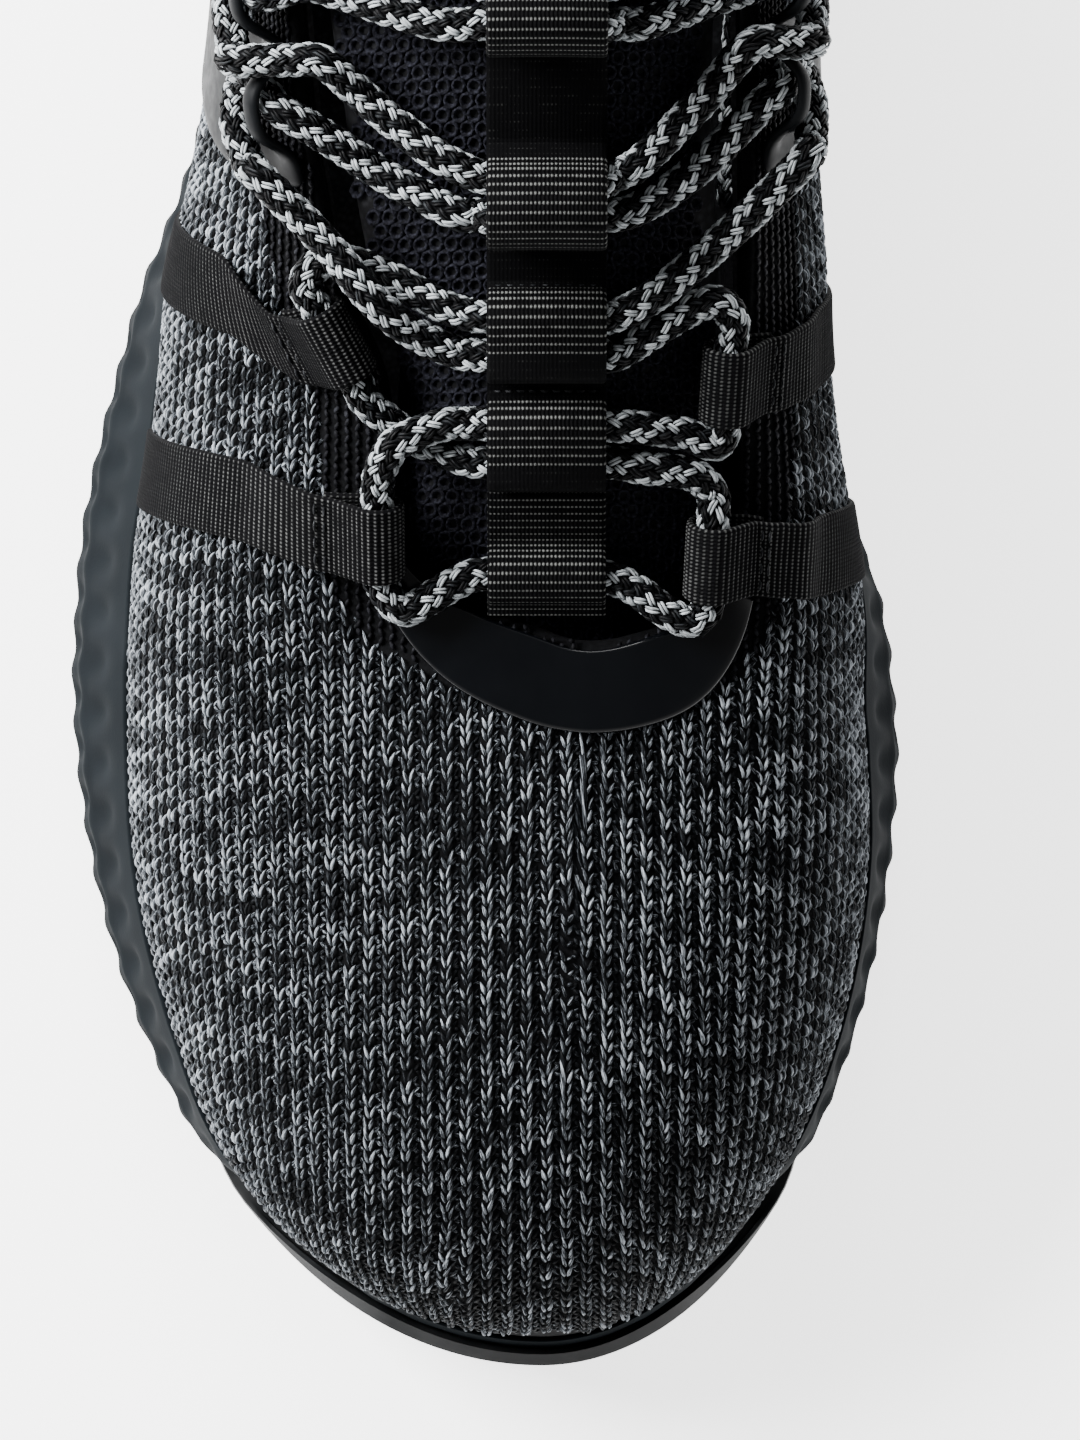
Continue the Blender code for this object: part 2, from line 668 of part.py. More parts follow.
def make_cage(side, word, finish, group):
    """A plate on the quarter whose upper edge has raised bars for the lace."""
    columns = [166.0]
    for start, end in CAGE_WINDOWS:
        columns += [start, start + 3.2, (start + end) / 2, end - 3.2, end]
    columns.append(220.0)
    rises = (0.1, 0.3, 0.5, 0.63, 0.75, 0.84, 0.93, 0.99)
    bar_row = 6

    def raised(at):
        return any(start + 1 < at < end - 1 for start, end in CAGE_WINDOWS)

    points = []
    for k, rise in enumerate(rises):
        for at in columns:
            front = 14.0 * (1 - ramp(rise, 0.1, 0.75)) * (1 - ramp(at, 166, 200))
            lift = BAR_LIFT if k >= bar_row and raised(at) else 0.5
            points.append(on_upper(angle_at(side, at + front), rise, lift))
    count = len(columns)
    faces = []
    for k in range(len(rises) - 1):
        for c in range(count - 1):
            middle = (columns[c] + columns[c + 1]) / 2
            open_here = any(start < middle < end for start, end in CAGE_WINDOWS)
            if open_here and k in (bar_row - 1, bar_row - 2):
                continue
            quad = (k * count + c, k * count + c + 1, (k + 1) * count + c + 1, (k + 1) * count + c)
            faces.append(quad if side == MEDIAL else quad[::-1])
    cage = mesh_object(f"lace_cage_{word}", points, faces, finish, group)
    work = bmesh.new()
    work.from_mesh(cage.data)
    work.faces.ensure_lookup_table()
    if work.faces[0].normal.x * side < 0:
        bmesh.ops.reverse_faces(work, faces=work.faces)
    work.to_mesh(cage.data)
    work.free()
    return solidify(cage, CAGE_THICKNESS, 1)


def make_throat_crescent(finish, group):
    """The moulded overlay round the bottom of the throat, 10 mm wide at its middle."""
    angles = spaced(-math.acos(1 - 2 * 76 / LENGTH), math.acos(1 - 2 * 92 / LENGTH), 33)
    outer, inner = [], []
    for share in spaced(0, 1, 4):
        rows = ([], [])
        for angle in angles:
            _, at = side_and_station(angle % (2 * math.pi))
            width = 10.0 * (1 - ramp(at, 30, 110)) + 2.5
            edge_point = upper_point(angle % (2 * math.pi), 1)
            rise = 1.0
            while rise > 0.5:
                if np.linalg.norm(edge_point - upper_point(angle % (2 * math.pi), rise)) >= share * width:
                    break
                rise -= 0.004
            rise = min(rise, 0.995)
            rows[0].append(on_upper(angle % (2 * math.pi), rise, GAP + 1.2))
            rows[1].append(on_upper(angle % (2 * math.pi), rise, GAP))
        outer.append(rows[0])
        inner.append(rows[1])
    return slab("throat_crescent", outer, inner, finish, group)


def tongue_grid(start, end, lift, rows, columns):
    grid = []
    for at in spaced(start, end, rows):
        margin = along(TONGUE_MARGIN, at)
        low = throat_edge(LATERAL, at)[0] - margin
        high = throat_edge(MEDIAL, at)[0] + margin
        grid.append([on_tongue(x, at, lift) for x in spaced(low, high, columns)])
    return grid


def make_tongue(finishes, group):
    """The tongue in two solids: its body, and the padded free end that lifts."""
    gap = 0.5
    slab("tongue", tongue_grid(TONGUE_START, TONGUE_HINGE - gap, 0, 18, 11),
         tongue_grid(TONGUE_START, TONGUE_HINGE - gap, -TONGUE_THICKNESS, 18, 11), finishes["mesh"], group)
    return slab("tongue_top", tongue_grid(TONGUE_HINGE + gap, TONGUE_END, 0, 6, 11),
                tongue_grid(TONGUE_HINGE + gap, TONGUE_END, -TONGUE_THICKNESS - 1.5, 6, 11),
                finishes["mesh"], group)


def strip(name, profile, place, width, finish, group):
    """A strip of webbing whose section is a closed outline of (distance, lift) points."""
    across = [width * share for share in (-0.5, -0.25, 0, 0.25, 0.5)]
    points = [place(distance, w, lift) for w in across for distance, lift in profile]
    count = len(profile)
    faces = []
    for k in range(len(across) - 1):
        for i in range(count):
            j = (i + 1) % count
            faces.append((k * count + i, k * count + j, (k + 1) * count + j, (k + 1) * count + i))
    half = count // 2
    for first in (0, (len(across) - 1) * count):
        for i in range(half - 1):
            faces.append((first + i, first + i + 1, first + count - i - 2, first + count - i - 1))
    return mesh_object(name, points, faces, finish, group)


def thick_outline(line, thickness):
    """The closed outline of a line of (distance, lift) points, half the thickness either side."""
    sides = ([], [])
    for i, point in enumerate(line):
        before, after = np.array(line[max(i - 1, 0)]), np.array(line[min(i + 1, len(line) - 1)])
        step = after - before
        normal = np.array((-step[1], step[0])) / np.linalg.norm(step) * thickness / 2
        sides[0].append(tuple(np.array(point) + normal))
        sides[1].append(tuple(np.array(point) - normal))
    return sides[0] + sides[1][::-1]


def arc(centre, radius, start, end, count):
    """Points of an arc in the (distance, lift) plane, angles in degrees."""
    turns = [math.radians(degrees) for degrees in spaced(start, end, count)]
    return [(centre[0] + radius * math.cos(t), centre[1] + radius * math.sin(t)) for t in turns]


def loop_place(side, name):
    """Where a lace loop's points lie: (distance back from the fold, distance across, lift) to a point."""
    at_sole, at_throat, reach, stand_off, axis_station = LACE_LOOPS[side, name]
    samples = spaced(0.03, 1.2, 60)

    last_station = upper_point(angle_at(side, at_throat), 1)[1]
    turns = []
    for rise in samples:
        wanted = at_sole + (last_station - at_sole) * min(rise, 1.0)
        low, high = 30.0, 230.0
        for _ in range(24):
            middle = (low + high) / 2
            if upper_point(angle_at(side, middle), min(rise, 1.0))[1] < wanted:
                low = middle
            else:
                high = middle
        turns.append(angle_at(side, low))

    def angle_of(rise):
        return float(np.interp(rise, samples, turns))

    line = [upper_point(angle_of(rise), rise) for rise in samples]
    walked = [0.0]
    for before, after in zip(line, line[1:]):
        walked.append(walked[-1] + np.linalg.norm(after - before))
    fold = float(np.interp(1.0, samples, walked)) + reach

    def rise_of(distance):
        return float(np.interp(fold - distance, walked, samples))

    def step_across(angle, rise):
        return upper_point(angle + 0.01, min(rise, 1)) - upper_point(angle - 0.01, min(rise, 1))

    eye_rise = rise_of(LOOP_EYE)
    eye = upper_point(angle_of(eye_rise), eye_rise)
    out = upper_normal(angle_of(eye_rise), eye_rise)
    axis = step_across(angle_at(side, axis_station), 1.0)
    axis /= np.linalg.norm(axis)
    out = out - (out @ axis) * axis
    out /= np.linalg.norm(out)
    back = np.cross(out, axis)
    back *= np.sign(back @ (upper_point(angle_of(0.5), 0.5) - eye))

    def place(distance, across, lift):
        rise = rise_of(distance)
        lift += stand_off * ramp(rise, 0.62, 0.82)
        turn = across * 0.02 / np.linalg.norm(step_across(angle_of(rise), rise))
        follows = ramp(distance, 7, 24)
        straight = eye + back * (distance - LOOP_EYE) + axis * across + out * lift
        return follows * on_upper(angle_of(rise) + turn, rise, lift) + (1 - follows) * straight

    return place, fold - walked[0]


def make_lace_loop(side, word, name, finish, group):
    """A strap that runs up the side from the sole and folds back under itself round the lace."""
    place, length = loop_place(side, name)
    outer = LOOP_BASE + WEBBING_THICKNESS + 0.4
    line = [(distance, LOOP_BASE) for distance in spaced(length, LOOP_EYE + 12, 10)]
    line += [(LOOP_EYE + 8.6, outer), (LOOP_EYE + 6.2, outer + 0.6), (LOOP_EYE + 4.2, outer + 2.1)]
    line += arc((LOOP_EYE, LOOP_BASE + LOOP_EYE), LOOP_EYE, 60, 270, 8)
    line += [(LOOP_EYE + 3.5, LOOP_BASE), (LOOP_EYE + 7.4, LOOP_BASE)]
    return strip(f"lace_loop_{word}_{name}", thick_outline(line, WEBBING_THICKNESS), place, LOOP_WIDTH,
                 finish, group)


def on_centre(distance, across, lift):
    """A point over the tongue, lifted the way its ridge faces, so that a strap keeps its width."""
    raised = on_tongue(CENTRE_X, distance, 1.0) - tongue_point(CENTRE_X, distance)
    return tongue_point(CENTRE_X + across, distance) + lift * raised


def make_centre_webbing(finish, group):
    line = [(STITCH_STATIONS[0] + 0.3, 0.8)]
    for at, swapped in CROSSINGS:
        start = at + KEEPER_FLAT[0][0]
        if start - line[-1][0] > 4:
            line += [(station, 0.8) for station in spaced(line[-1][0], start, 5)[1:-1]]
        line += [(at + offset, lift) for offset, lift in (KEEPER_STACK if swapped else KEEPER_FLAT)]
    line += [(station, 0.8) for station in spaced(line[-1][0], TONGUE_HINGE - 2.5, 6)[1:]]
    strip("centre_webbing", thick_outline(line, WEBBING_THICKNESS), on_centre, KEEPER_WIDTH, finish, group)
    strip("bottom_lace_tab", thick_outline(TAB_LINE, WEBBING_THICKNESS),
          lambda at, across, height: np.array((CENTRE_X + across, at, height - 0.008 * across**2)),
          KEEPER_WIDTH, finish, group)


def make_pull_tab(finish, group):
    """A webbing loop on the free end of the tongue."""
    base = GAP + WEBBING_THICKNESS / 2
    line = [(TONGUE_HINGE + 3.0, base + 1.5), (TONGUE_HINGE + 12, base + 1.5)]
    line += [(TONGUE_END - 4, base + 5.5)]
    line += [(TONGUE_END + 1.5, base + 6.2), (TONGUE_END + 3.2, base + 4.2), (TONGUE_END + 1.8, base + 1.6)]
    line += [(TONGUE_END - 4, base), (TONGUE_HINGE + 8, base)]
    return strip("tongue_pull_tab", thick_outline(line, WEBBING_THICKNESS), on_centre, KEEPER_WIDTH,
                 finish, group)


def heel_place(distance, across, lift):
    """Distance up the back of the heel from the loop's stitching."""
    start = upper_point(math.pi, HEEL_LOOP_RISE)
    up = upper_point(math.pi, 1) - start
    up = up / np.linalg.norm(up)
    normal = upper_normal(math.pi, 0.95)
    return start + up * distance + normal * lift + (across, -across * across * 0.012, 0)


def make_heel_loop(finish, group):
    base = HEEL_LOOP_BASE
    line = [(0, base + 1.5), (7, base + 1.8), (14, base + 4.6), (20, base + 6.4), (24.5, base + 5.6)]
    line += [(26.6, base + 3.0), (25.4, base + 0.2), (21, base - 0.9)]
    line += [(15, base - 0.2), (8, base), (0, base)]
    return strip("heel_pull_loop", thick_outline(line, WEBBING_THICKNESS), heel_place, 14.0, finish, group)


def crossing_points(crossing, from_side, over):
    """The lace under the centre webbing, from one side to the other, a strand's width from its pair."""
    at, swapped = CROSSINGS[crossing]
    spread = LACE_DIAMETER / 2 + 0.22
    points = []
    for share in (-1.0, -0.5, 0.0, 0.5, 1.0):
        if swapped:
            turn = (share + 1) * math.pi / 2
            offset = -spread * math.cos(turn)
            middle = LACE_LIFT + spread * math.cos(share * math.pi / 2)
            lift = middle + (1 if over else -1) * spread * math.sin(turn)
        else:
            offset = spread if over else -spread
            lift = LACE_LIFT
        points.append(on_tongue(CENTRE_X - from_side * share * KEEPER_WIDTH / 2, at + offset, lift))
    return points


def through_loop(side, name):
    """The lace through a lace loop, from its toe end to its heel end."""
    place, _ = loop_place(side, name)
    towards_heel = 1 if side == LATERAL else -1
    steps = (-6.0, -3.0, 0.0, 3.0, 6.0)
    return [place(LOOP_EYE, towards_heel * across, LOOP_BASE + LOOP_EYE) for across in steps]


def round_bar(side, window):
    """The lace past the front of a cage bar, out and back under it."""
    start, end = CAGE_WINDOWS[window]
    middle = (start + end) / 2
    route = ((-8.3, 0.955, 7.2), (-7.2, 0.89, 6.2), (-3.4, 0.82, 4.9), (0.2, 0.79, 3.3), (2.2, 0.81, 2.9),
             (2.4, 0.87, 2.8), (1.2, 0.93, 2.9), (0.0, 0.985, 3.4))
    return [on_upper(angle_at(side, middle + ahead), rise, lift) for ahead, rise, lift in route]


def tucked_end(side):
    """The lace over the throat's edge at the top bar and down inside the shoe, forwards along its wall."""
    route = ((209.5, 1.02, 3.2), (211.0, 1.08, -1.2), (212.5, 1.02, -5.8), (213.0, 0.90, -7.0),
             (211.0, 0.70, -7.2), (206.0, 0.48, -7.6), (197.0, 0.32, -8.0), (185.0, 0.24, -8.5),
             (172.0, 0.21, -9.0), (160.0, 0.2, -9.5))
    return [on_upper(angle_at(side, at), rise, lift) for at, rise, lift in route]


def lace_route(side):
    """Half of the lace, from the bar under the bottom tab to the end tucked inside the shoe.

    Points written out are (x, station, height).
    """
    other = -side
    if side == LATERAL:
        route = [
            [(8.5, 109.8, 66.5), (2.5, 109.8, 66.3), (-2.5, 109.0, 66.1), (-6.8, 106.5, 66.7),
             (-11.0, 104.8, 66.6)],
            through_loop(side, "front"),
            [(-14.0, 122.4, 73.7), (-12.0, 126.6, 76.6), (-7.2, 129.0, 77.6), (-3.6, 129.6, 77.4)],
            crossing_points(0, side, True),
            [(21.5, 129.3, 77.1), (25.6, 128.6, 76.0), (29.6, 127.1, 74.6), (31.8, 127.3, 74.3)],
            through_loop(other, "rear"),
            [(33.4, 143.5, 81.2), (31.2, 145.8, 82.6), (27.0, 144.4, 83.2), (22.2, 140.9, 83.4)],
            crossing_points(1, other, False),
            [(-4.5, 139.4, 82.1), (-9.6, 141.8, 83.9), (-14.8, 146.0, 87.1), (-19.5, 151.6, 87.0),
             (-24.5, 157.6, 86.8)],
            round_bar(side, 0),
            [(-22.0, 168.3, 89.6), (-16.0, 164.2, 88.9), (-9.5, 160.0, 91.1), (-4.2, 157.4, 92.6)],
            crossing_points(2, side, True),
            [(21.5, 164.2, 95.6), (27.0, 169.6, 94.6), (31.8, 175.2, 95.0), (36.0, 179.4, 97.2)],
            round_bar(other, 1),
            [(34.0, 186.5, 99.0), (27.5, 183.4, 101.2), (21.3, 181.6, 104.5)],
            crossing_points(3, other, True),
            [(-4.5, 188.2, 108.4), (-11.5, 190.8, 106.2), (-19.5, 193.6, 103.4), (-26.0, 194.2, 101.6)],
            round_bar(side, 2),
            tucked_end(side),
        ]
    else:
        route = [
            [(14.5, 109.7, 66.3), (19.8, 108.0, 65.9), (24.5, 104.6, 66.2), (28.4, 103.2, 65.8)],
            through_loop(side, "front"),
            [(30.8, 120.4, 71.1), (28.0, 122.9, 72.7), (24.2, 123.6, 74.0), (20.8, 123.8, 75.0)],
            crossing_points(0, side, False),
            [(-4.8, 125.6, 73.5), (-9.6, 128.0, 72.0), (-13.6, 130.6, 72.9), (-16.0, 133.0, 73.8)],
            through_loop(other, "rear"),
            [(-23.9, 148.3, 79.7), (-21.2, 151.3, 80.9), (-15.8, 150.6, 81.7),
             (-9.5, 147.4, 82.8), (-4.6, 144.8, 84.5)],
            crossing_points(1, other, True),
            [(21.5, 145.6, 86.0), (26.5, 149.2, 86.0), (32.0, 154.0, 86.0), (37.5, 159.0, 87.4)],
            round_bar(side, 0),
            [(33.8, 168.8, 90.8), (28.0, 162.6, 90.5), (21.8, 158.4, 92.4)],
            crossing_points(2, side, False),
            [(-4.0, 163.4, 95.8), (-10.0, 167.6, 95.0), (-16.5, 173.0, 94.7), (-22.0, 177.2, 96.2)],
            round_bar(other, 1),
            [(-23.0, 187.0, 98.8), (-17.0, 185.2, 100.4), (-10.0, 182.6, 103.3), (-4.3, 181.4, 105.5)],
            crossing_points(3, other, False),
            [(21.5, 188.4, 107.6), (27.5, 191.2, 104.8), (33.5, 194.6, 103.0), (37.5, 195.8, 102.0)],
            round_bar(side, 2),
            tucked_end(side),
        ]
    return [np.array(point) for stretch in route for point in stretch]


def smooth_route(points, finest):
    """Points along a smooth curve through the given ones, close together where it turns."""
    dense = []
    knots = [2 * points[0] - points[1]] + points + [2 * points[-1] - points[-2]]
    for before, start, end, after in zip(knots, knots[1:], knots[2:], knots[3:]):
        for s in spaced(0, 1, 13)[:-1]:
            dense.append(0.5 * (2 * start + (end - before) * s
                                + (2 * before - 5 * start + 4 * end - after) * s * s
                                + (3 * start - 3 * end + after - before) * s**3))
    dense.append(points[-1])
    kept, walked, turned = [dense[0]], 0.0, 0.0
    for before, here, after in zip(dense, dense[1:], dense[2:]):
        walked += np.linalg.norm(here - before)
        heading, next_heading = here - before, after - here
        cosine = heading @ next_heading / np.linalg.norm(heading) / np.linalg.norm(next_heading)
        turned += math.degrees(math.acos(min(max(cosine, -1), 1)))
        if walked > 2.5 * LACE_DIAMETER or (turned > finest and walked > 1.8):
            kept.append(here)
            walked = turned = 0.0
    return kept + [dense[-1]]


def tube(name, points, diameter, finish, group):
    curve = bpy.data.curves.new(name, "CURVE")
    curve.dimensions = "3D"
    curve.bevel_depth = diameter / 2 * MM
    curve.bevel_resolution = 2
    curve.use_fill_caps = True
    spline = curve.splines.new("POLY")
    spline.points.add(len(points) - 1)
    for knot, point in zip(spline.points, points):
        knot.co = (*placed(point), 1)
    return add_object(name, curve, finish, group)


def make_lace(finishes, group):
    """The lace as one tube, and its two tips."""
    halves = {side: lace_route(side) for side in (LATERAL, MEDIAL)}
    points = smooth_route(halves[LATERAL][::-1] + halves[MEDIAL], 24)
    tube("lace", points, LACE_DIAMETER, finishes["lace"], group)
    for side, word in ((LATERAL, "lateral"), (MEDIAL, "medial")):
        end, before = halves[side][-1], halves[side][-2]
        heading = (end - before) / np.linalg.norm(end - before)
        tip = [end + heading * distance for distance in (GAP, 20.0)]
        tube(f"aglet_{word}", tip, 3.8, finishes["aglet"], group)


def main():
    clear_scene()
    shoe = collection("running_shoe")
    cutters = collection("cutters")
    finishes = {
        "knit": material("knit", (0.05, 0.055, 0.06), 0.9),
        "foam": material("foam", (0.05, 0.06, 0.066), 0.6),
        "rubber": material("rubber", (0.012, 0.013, 0.015), 0.5),
        "gloss": material("gloss_plastic", (0.008, 0.009, 0.011), 0.12),
        "cage": material("cage_plastic", (0.09, 0.095, 0.1), 0.4),
        "mesh": material("spacer_mesh", (0.008, 0.008, 0.012), 0.95),
        "webbing": material("webbing", (0.02, 0.021, 0.023), 0.8),
        "lace": material("lace", (0.12, 0.13, 0.14), 0.8),
        "board": material("strobel_board", (0.5, 0.5, 0.48), 0.9),
        "stiffener": material("stiffener", (0.3, 0.3, 0.3), 0.7),
        "tape": material("tape", (0.02, 0.02, 0.02), 0.8),
        "lining": material("lining", (0.015, 0.015, 0.018), 0.9),
        "aglet": material("aglet", (0.02, 0.02, 0.022), 0.3),
    }
    make_outsoles(finishes["rubber"], shoe, cutters)
    make_midsole(finishes["foam"], shoe)
    make_shank(finishes["gloss"], shoe)
    make_strobel_board(finishes["board"], shoe)
    make_sockliner(finishes["lining"], shoe)
    make_upper(finishes["knit"], shoe)
    make_stiffeners(finishes, shoe)
    make_collar(finishes, shoe)
    make_heel_clip(finishes["gloss"], shoe)
    for side, word in ((LATERAL, "lateral"), (MEDIAL, "medial")):
        make_cage(side, word, finishes["cage"], shoe)
    make_throat_crescent(finishes["gloss"], shoe)
    tongue_top = make_tongue(finishes, shoe)
    for side, name in LACE_LOOPS:
        word = "lateral" if side == LATERAL else "medial"
        make_lace_loop(side, word, name, finishes["webbing"], shoe)
    make_centre_webbing(finishes["webbing"], shoe)
    tongue_tab = make_pull_tab(finishes["webbing"], shoe)
    heel_loop = make_heel_loop(finishes["webbing"], shoe)
    tongue_axis = placed(tongue_point(CENTRE_X, TONGUE_HINGE))
    for lifting in (tongue_top, tongue_tab):
        move_origin(lifting, tongue_axis)
    move_origin(heel_loop, placed(heel_place(0, 0, HEEL_LOOP_BASE + 0.8)))
    make_lace(finishes, shoe)


main()
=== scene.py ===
"""Looks of the running shoe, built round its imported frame.

Shape tables and shape functions repeat those of the CAD part: (x, station, height) in millimetres, the
station counted from the tip of the toe. An angle goes once round the shoe from the tip of the toe, first
along the outer side. A rise of 0 is the upper's line along the sole and 1 its edge.
"""

import bisect
import json
import math

import bmesh
import bpy
import numpy as np
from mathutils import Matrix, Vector, geometry
from mathutils.bvhtree import BVHTree

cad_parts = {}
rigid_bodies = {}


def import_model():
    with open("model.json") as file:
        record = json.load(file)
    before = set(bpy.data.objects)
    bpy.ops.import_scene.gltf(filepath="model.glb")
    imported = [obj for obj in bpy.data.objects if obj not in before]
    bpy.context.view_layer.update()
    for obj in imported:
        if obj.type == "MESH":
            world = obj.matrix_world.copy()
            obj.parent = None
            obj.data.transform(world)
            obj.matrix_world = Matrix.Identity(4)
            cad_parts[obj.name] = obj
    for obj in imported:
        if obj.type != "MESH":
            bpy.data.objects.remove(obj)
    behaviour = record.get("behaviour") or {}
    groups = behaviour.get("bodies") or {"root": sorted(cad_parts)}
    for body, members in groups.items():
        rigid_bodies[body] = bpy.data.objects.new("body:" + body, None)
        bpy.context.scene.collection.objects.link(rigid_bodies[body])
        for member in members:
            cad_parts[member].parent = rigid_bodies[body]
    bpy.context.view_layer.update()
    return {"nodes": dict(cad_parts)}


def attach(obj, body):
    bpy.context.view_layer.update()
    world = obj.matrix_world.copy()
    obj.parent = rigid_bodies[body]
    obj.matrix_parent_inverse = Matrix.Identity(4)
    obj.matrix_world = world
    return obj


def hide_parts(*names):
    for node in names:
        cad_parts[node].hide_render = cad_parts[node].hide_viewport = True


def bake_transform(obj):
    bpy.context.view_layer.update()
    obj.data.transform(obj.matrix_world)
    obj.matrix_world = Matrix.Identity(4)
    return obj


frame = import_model()

MM = 0.001
LENGTH = 300.0
LATERAL, MEDIAL = -1, 1
RING_POINTS = 240
GAP = 0.3

# Plan of the sole: quarter ellipses round the toe and the heel, and half-breadths between them.
AXIS_X = ((0, 7.8), (200, 7.8), (300, 6))
TOE_ELLIPSE = {LATERAL: (98.0, 66.0), MEDIAL: (88.0, 50.0)}
HEEL_ELLIPSE_START = 248.0
HALF_BREADTH = {
    LATERAL: ((98, 66), (114, 65), (126, 62.8), (138, 59.8), (150, 56.4), (166, 50.1), (180, 46.6),
              (195, 44.6), (220, 43.6), (248, 43.5)),
    MEDIAL: ((88, 50), (105, 48), (118, 43.5), (130, 38.5), (145, 33.5), (160, 31), (175, 31.5),
             (195, 34.5), (220, 38.5), (248, 41)),
}

# Heights of the sole: the line where the knit meets it, the bed that the foot rests over, the arch.
BITE_HEIGHT = ((0, 20.5), (15, 21), (40, 21.5), (70, 22.5), (100, 24), (130, 26), (160, 29),
               (190, 32.5), (220, 35.5), (250, 38), (280, 41), (300, 43))
BED_HEIGHT = ((0, 14.5), (30, 14.5), (70, 16), (100, 17.5), (130, 19.5), (160, 22), (190, 25),
              (220, 28), (250, 30), (300, 31))
ARCH_RISE, ARCH = 4.2, (112, 128, 206, 222)
TOE_SPRING, TOE_SPRING_LENGTH = 7.0, 40.0
HEEL_BEVEL, HEEL_BEVEL_LENGTH = 2.5, 16.0
OUTSOLE_THICKNESS = 3.0
FOREFOOT_OUTSOLE_END, HEEL_OUTSOLE_START = 119.0, 217.0
BUMPER_RISE, BUMPER_THICKNESS, BUMPER_END = 9.5, 2.2, 22.0

# The upper: how far it stands in from the sole's edge, how far its wall bulges, how straight it is.
UPPER_THICKNESS = 2.4
FEATHER_INSET = {
    LATERAL: ((0, 4.2), (10, 3.9), (20, 3.3), (30, 3.6), (45, 5.5), (65, 7), (90, 9), (126, 9),
              (140, 7.5), (155, 5.5), (180, 4.5), (300, 5)),
    MEDIAL: ((0, 4.2), (15, 3.7), (30, 3.3), (50, 3.6), (70, 4.5), (90, 6), (105, 4.5), (118, 2.5),
             (140, 2), (200, 3), (300, 5)),
}
BULGE = {
    LATERAL: ((0, 1), (12, 4), (30, 1.5), (60, 0.5), (100, 1), (126, 2), (150, 4), (165, 5), (200, 4.5),
              (250, 3.5), (300, 2)),
    MEDIAL: ((0, 1), (20, 1.5), (60, 0.3), (90, 0.5), (115, 2), (133, 5.5), (152, 8.5), (170, 8), (190, 6),
             (220, 4), (250, 3), (300, 2)),
}
WALL_POWER = 2.5
STRAIGHTNESS = ((0, 0.22), (60, 0.25), (100, 0.33), (140, 0.45), (180, 0.6), (220, 0.8), (300, 0.9))

# The edge of the upper: (station along the sole, x, station, height) for each side. Round the heel its
# breadth closes with the sole's ellipse.
OPENING = {
    LATERAL: ((0, 14.5, 100.6, 63), (8, 11.8, 100.85, 62.9), (30, 7, 102.5, 62.8),
              (55, -1, 105, 62.3), (75, -8, 108.5, 62),
              (90, -11.5, 113, 63), (105, -12, 119, 65.5), (120, -12, 127, 68.5), (135, -13.5, 137, 72),
              (150, -18.5, 147.5, 76), (165, -22, 160, 81.5), (180, -24.5, 174, 88), (195, -26, 188, 94),
              (208, -27, 201, 98.5), (220, -27, 212, 100), (235, -26, 226, 92), (250, -25, 242, 80),
              (265, -24.5, 258, 73), (278, -24, 272.5, 75), (290, -23.5, 286, 85), (300, -23, 293.5, 93)),
    MEDIAL: ((0, 14.5, 100.6, 63), (7, 16.7, 100.75, 62.9), (25, 20, 101.5, 62.8),
             (45, 26, 103.5, 62), (62, 31, 107.5, 61.5),
             (78, 33.5, 112.5, 62), (95, 34.2, 119, 64.5), (112, 34.3, 127, 68), (130, 34.8, 137, 72.5),
             (147, 35.6, 148, 77.5), (163, 36, 160, 82.5), (178, 36, 174, 89), (193, 36, 188, 95),
             (206, 36.5, 201, 99.5), (218, 37, 212, 101), (235, 36, 226, 94), (250, 35, 242, 83),
             (265, 35, 258, 76), (278, 35, 272.5, 77), (290, 35, 286, 86), (300, 35, 293.5, 93)),
}

COLLAR_X = 6.5

# The tongue: the height of its ridge, and how far it reaches past the throat's edges.
CENTRE_X = 8.5
TONGUE_START, TONGUE_HINGE, TONGUE_END = 88.0, 206.0, 229.0
TONGUE_RIDGE = ((85, 50.5), (95, 54.5), (101, 57.3), (105, 59.3), (110, 63.3), (120, 70.6), (133, 78.5),
                (146, 85.5), (160, 93), (175, 101), (190, 108.5), (205, 116), (215, 121), (229, 127))
TONGUE_MARGIN = ((88, 3), (107, 3.5), (130, 1.0), (142, -2.2), (158, -3.6), (172, -4.4), (189, -4.6),
                 (198, -9.8), (220, -10), (229, -14))
TONGUE_THICKNESS = 4.5
THROAT_SETTLES = 113.0

LACE_DIAMETER = 4.6
LACE_LIFT = 2.7
WEBBING_THICKNESS = 1.0
LOOP_WIDTH, KEEPER_WIDTH = 11.0, 16.0

# Lace loops: station at the sole, station at the throat, reach past the throat's edge, how far the loop
# stands off near the throat to clear the crescent, and the station whose edge its eye lies along.
LACE_LOOPS = {
    (LATERAL, "front"): (125.0, 99.0, 1.0, 1.8, 99.0),
    (LATERAL, "rear"): (156.0, 142.5, 0.5, 0.3, 142.5),
    (MEDIAL, "front"): (115.5, 70.0, 8.0, 3.0, 92.0),
    (MEDIAL, "rear"): (148.0, 127.0, 7.5, 0.3, 127.0),
}
LOOP_BASE = 1.0
LOOP_EYE = LACE_DIAMETER / 2 + 0.25 + WEBBING_THICKNESS / 2

# Windows of the lace cages: first and last station along the sole.
CAGE_WINDOWS = ((172.0, 184.0), (187.5, 199.5), (203.0, 215.0))

# Crossings of the lace under the centre webbing: station, and whether the strands swap places there.
CROSSINGS = ((128.3, False), (142.4, False), (160.6, True), (185.2, True))
STITCH_STATIONS = (121.3, 135.3, 149.3, 167.4, 191.9)

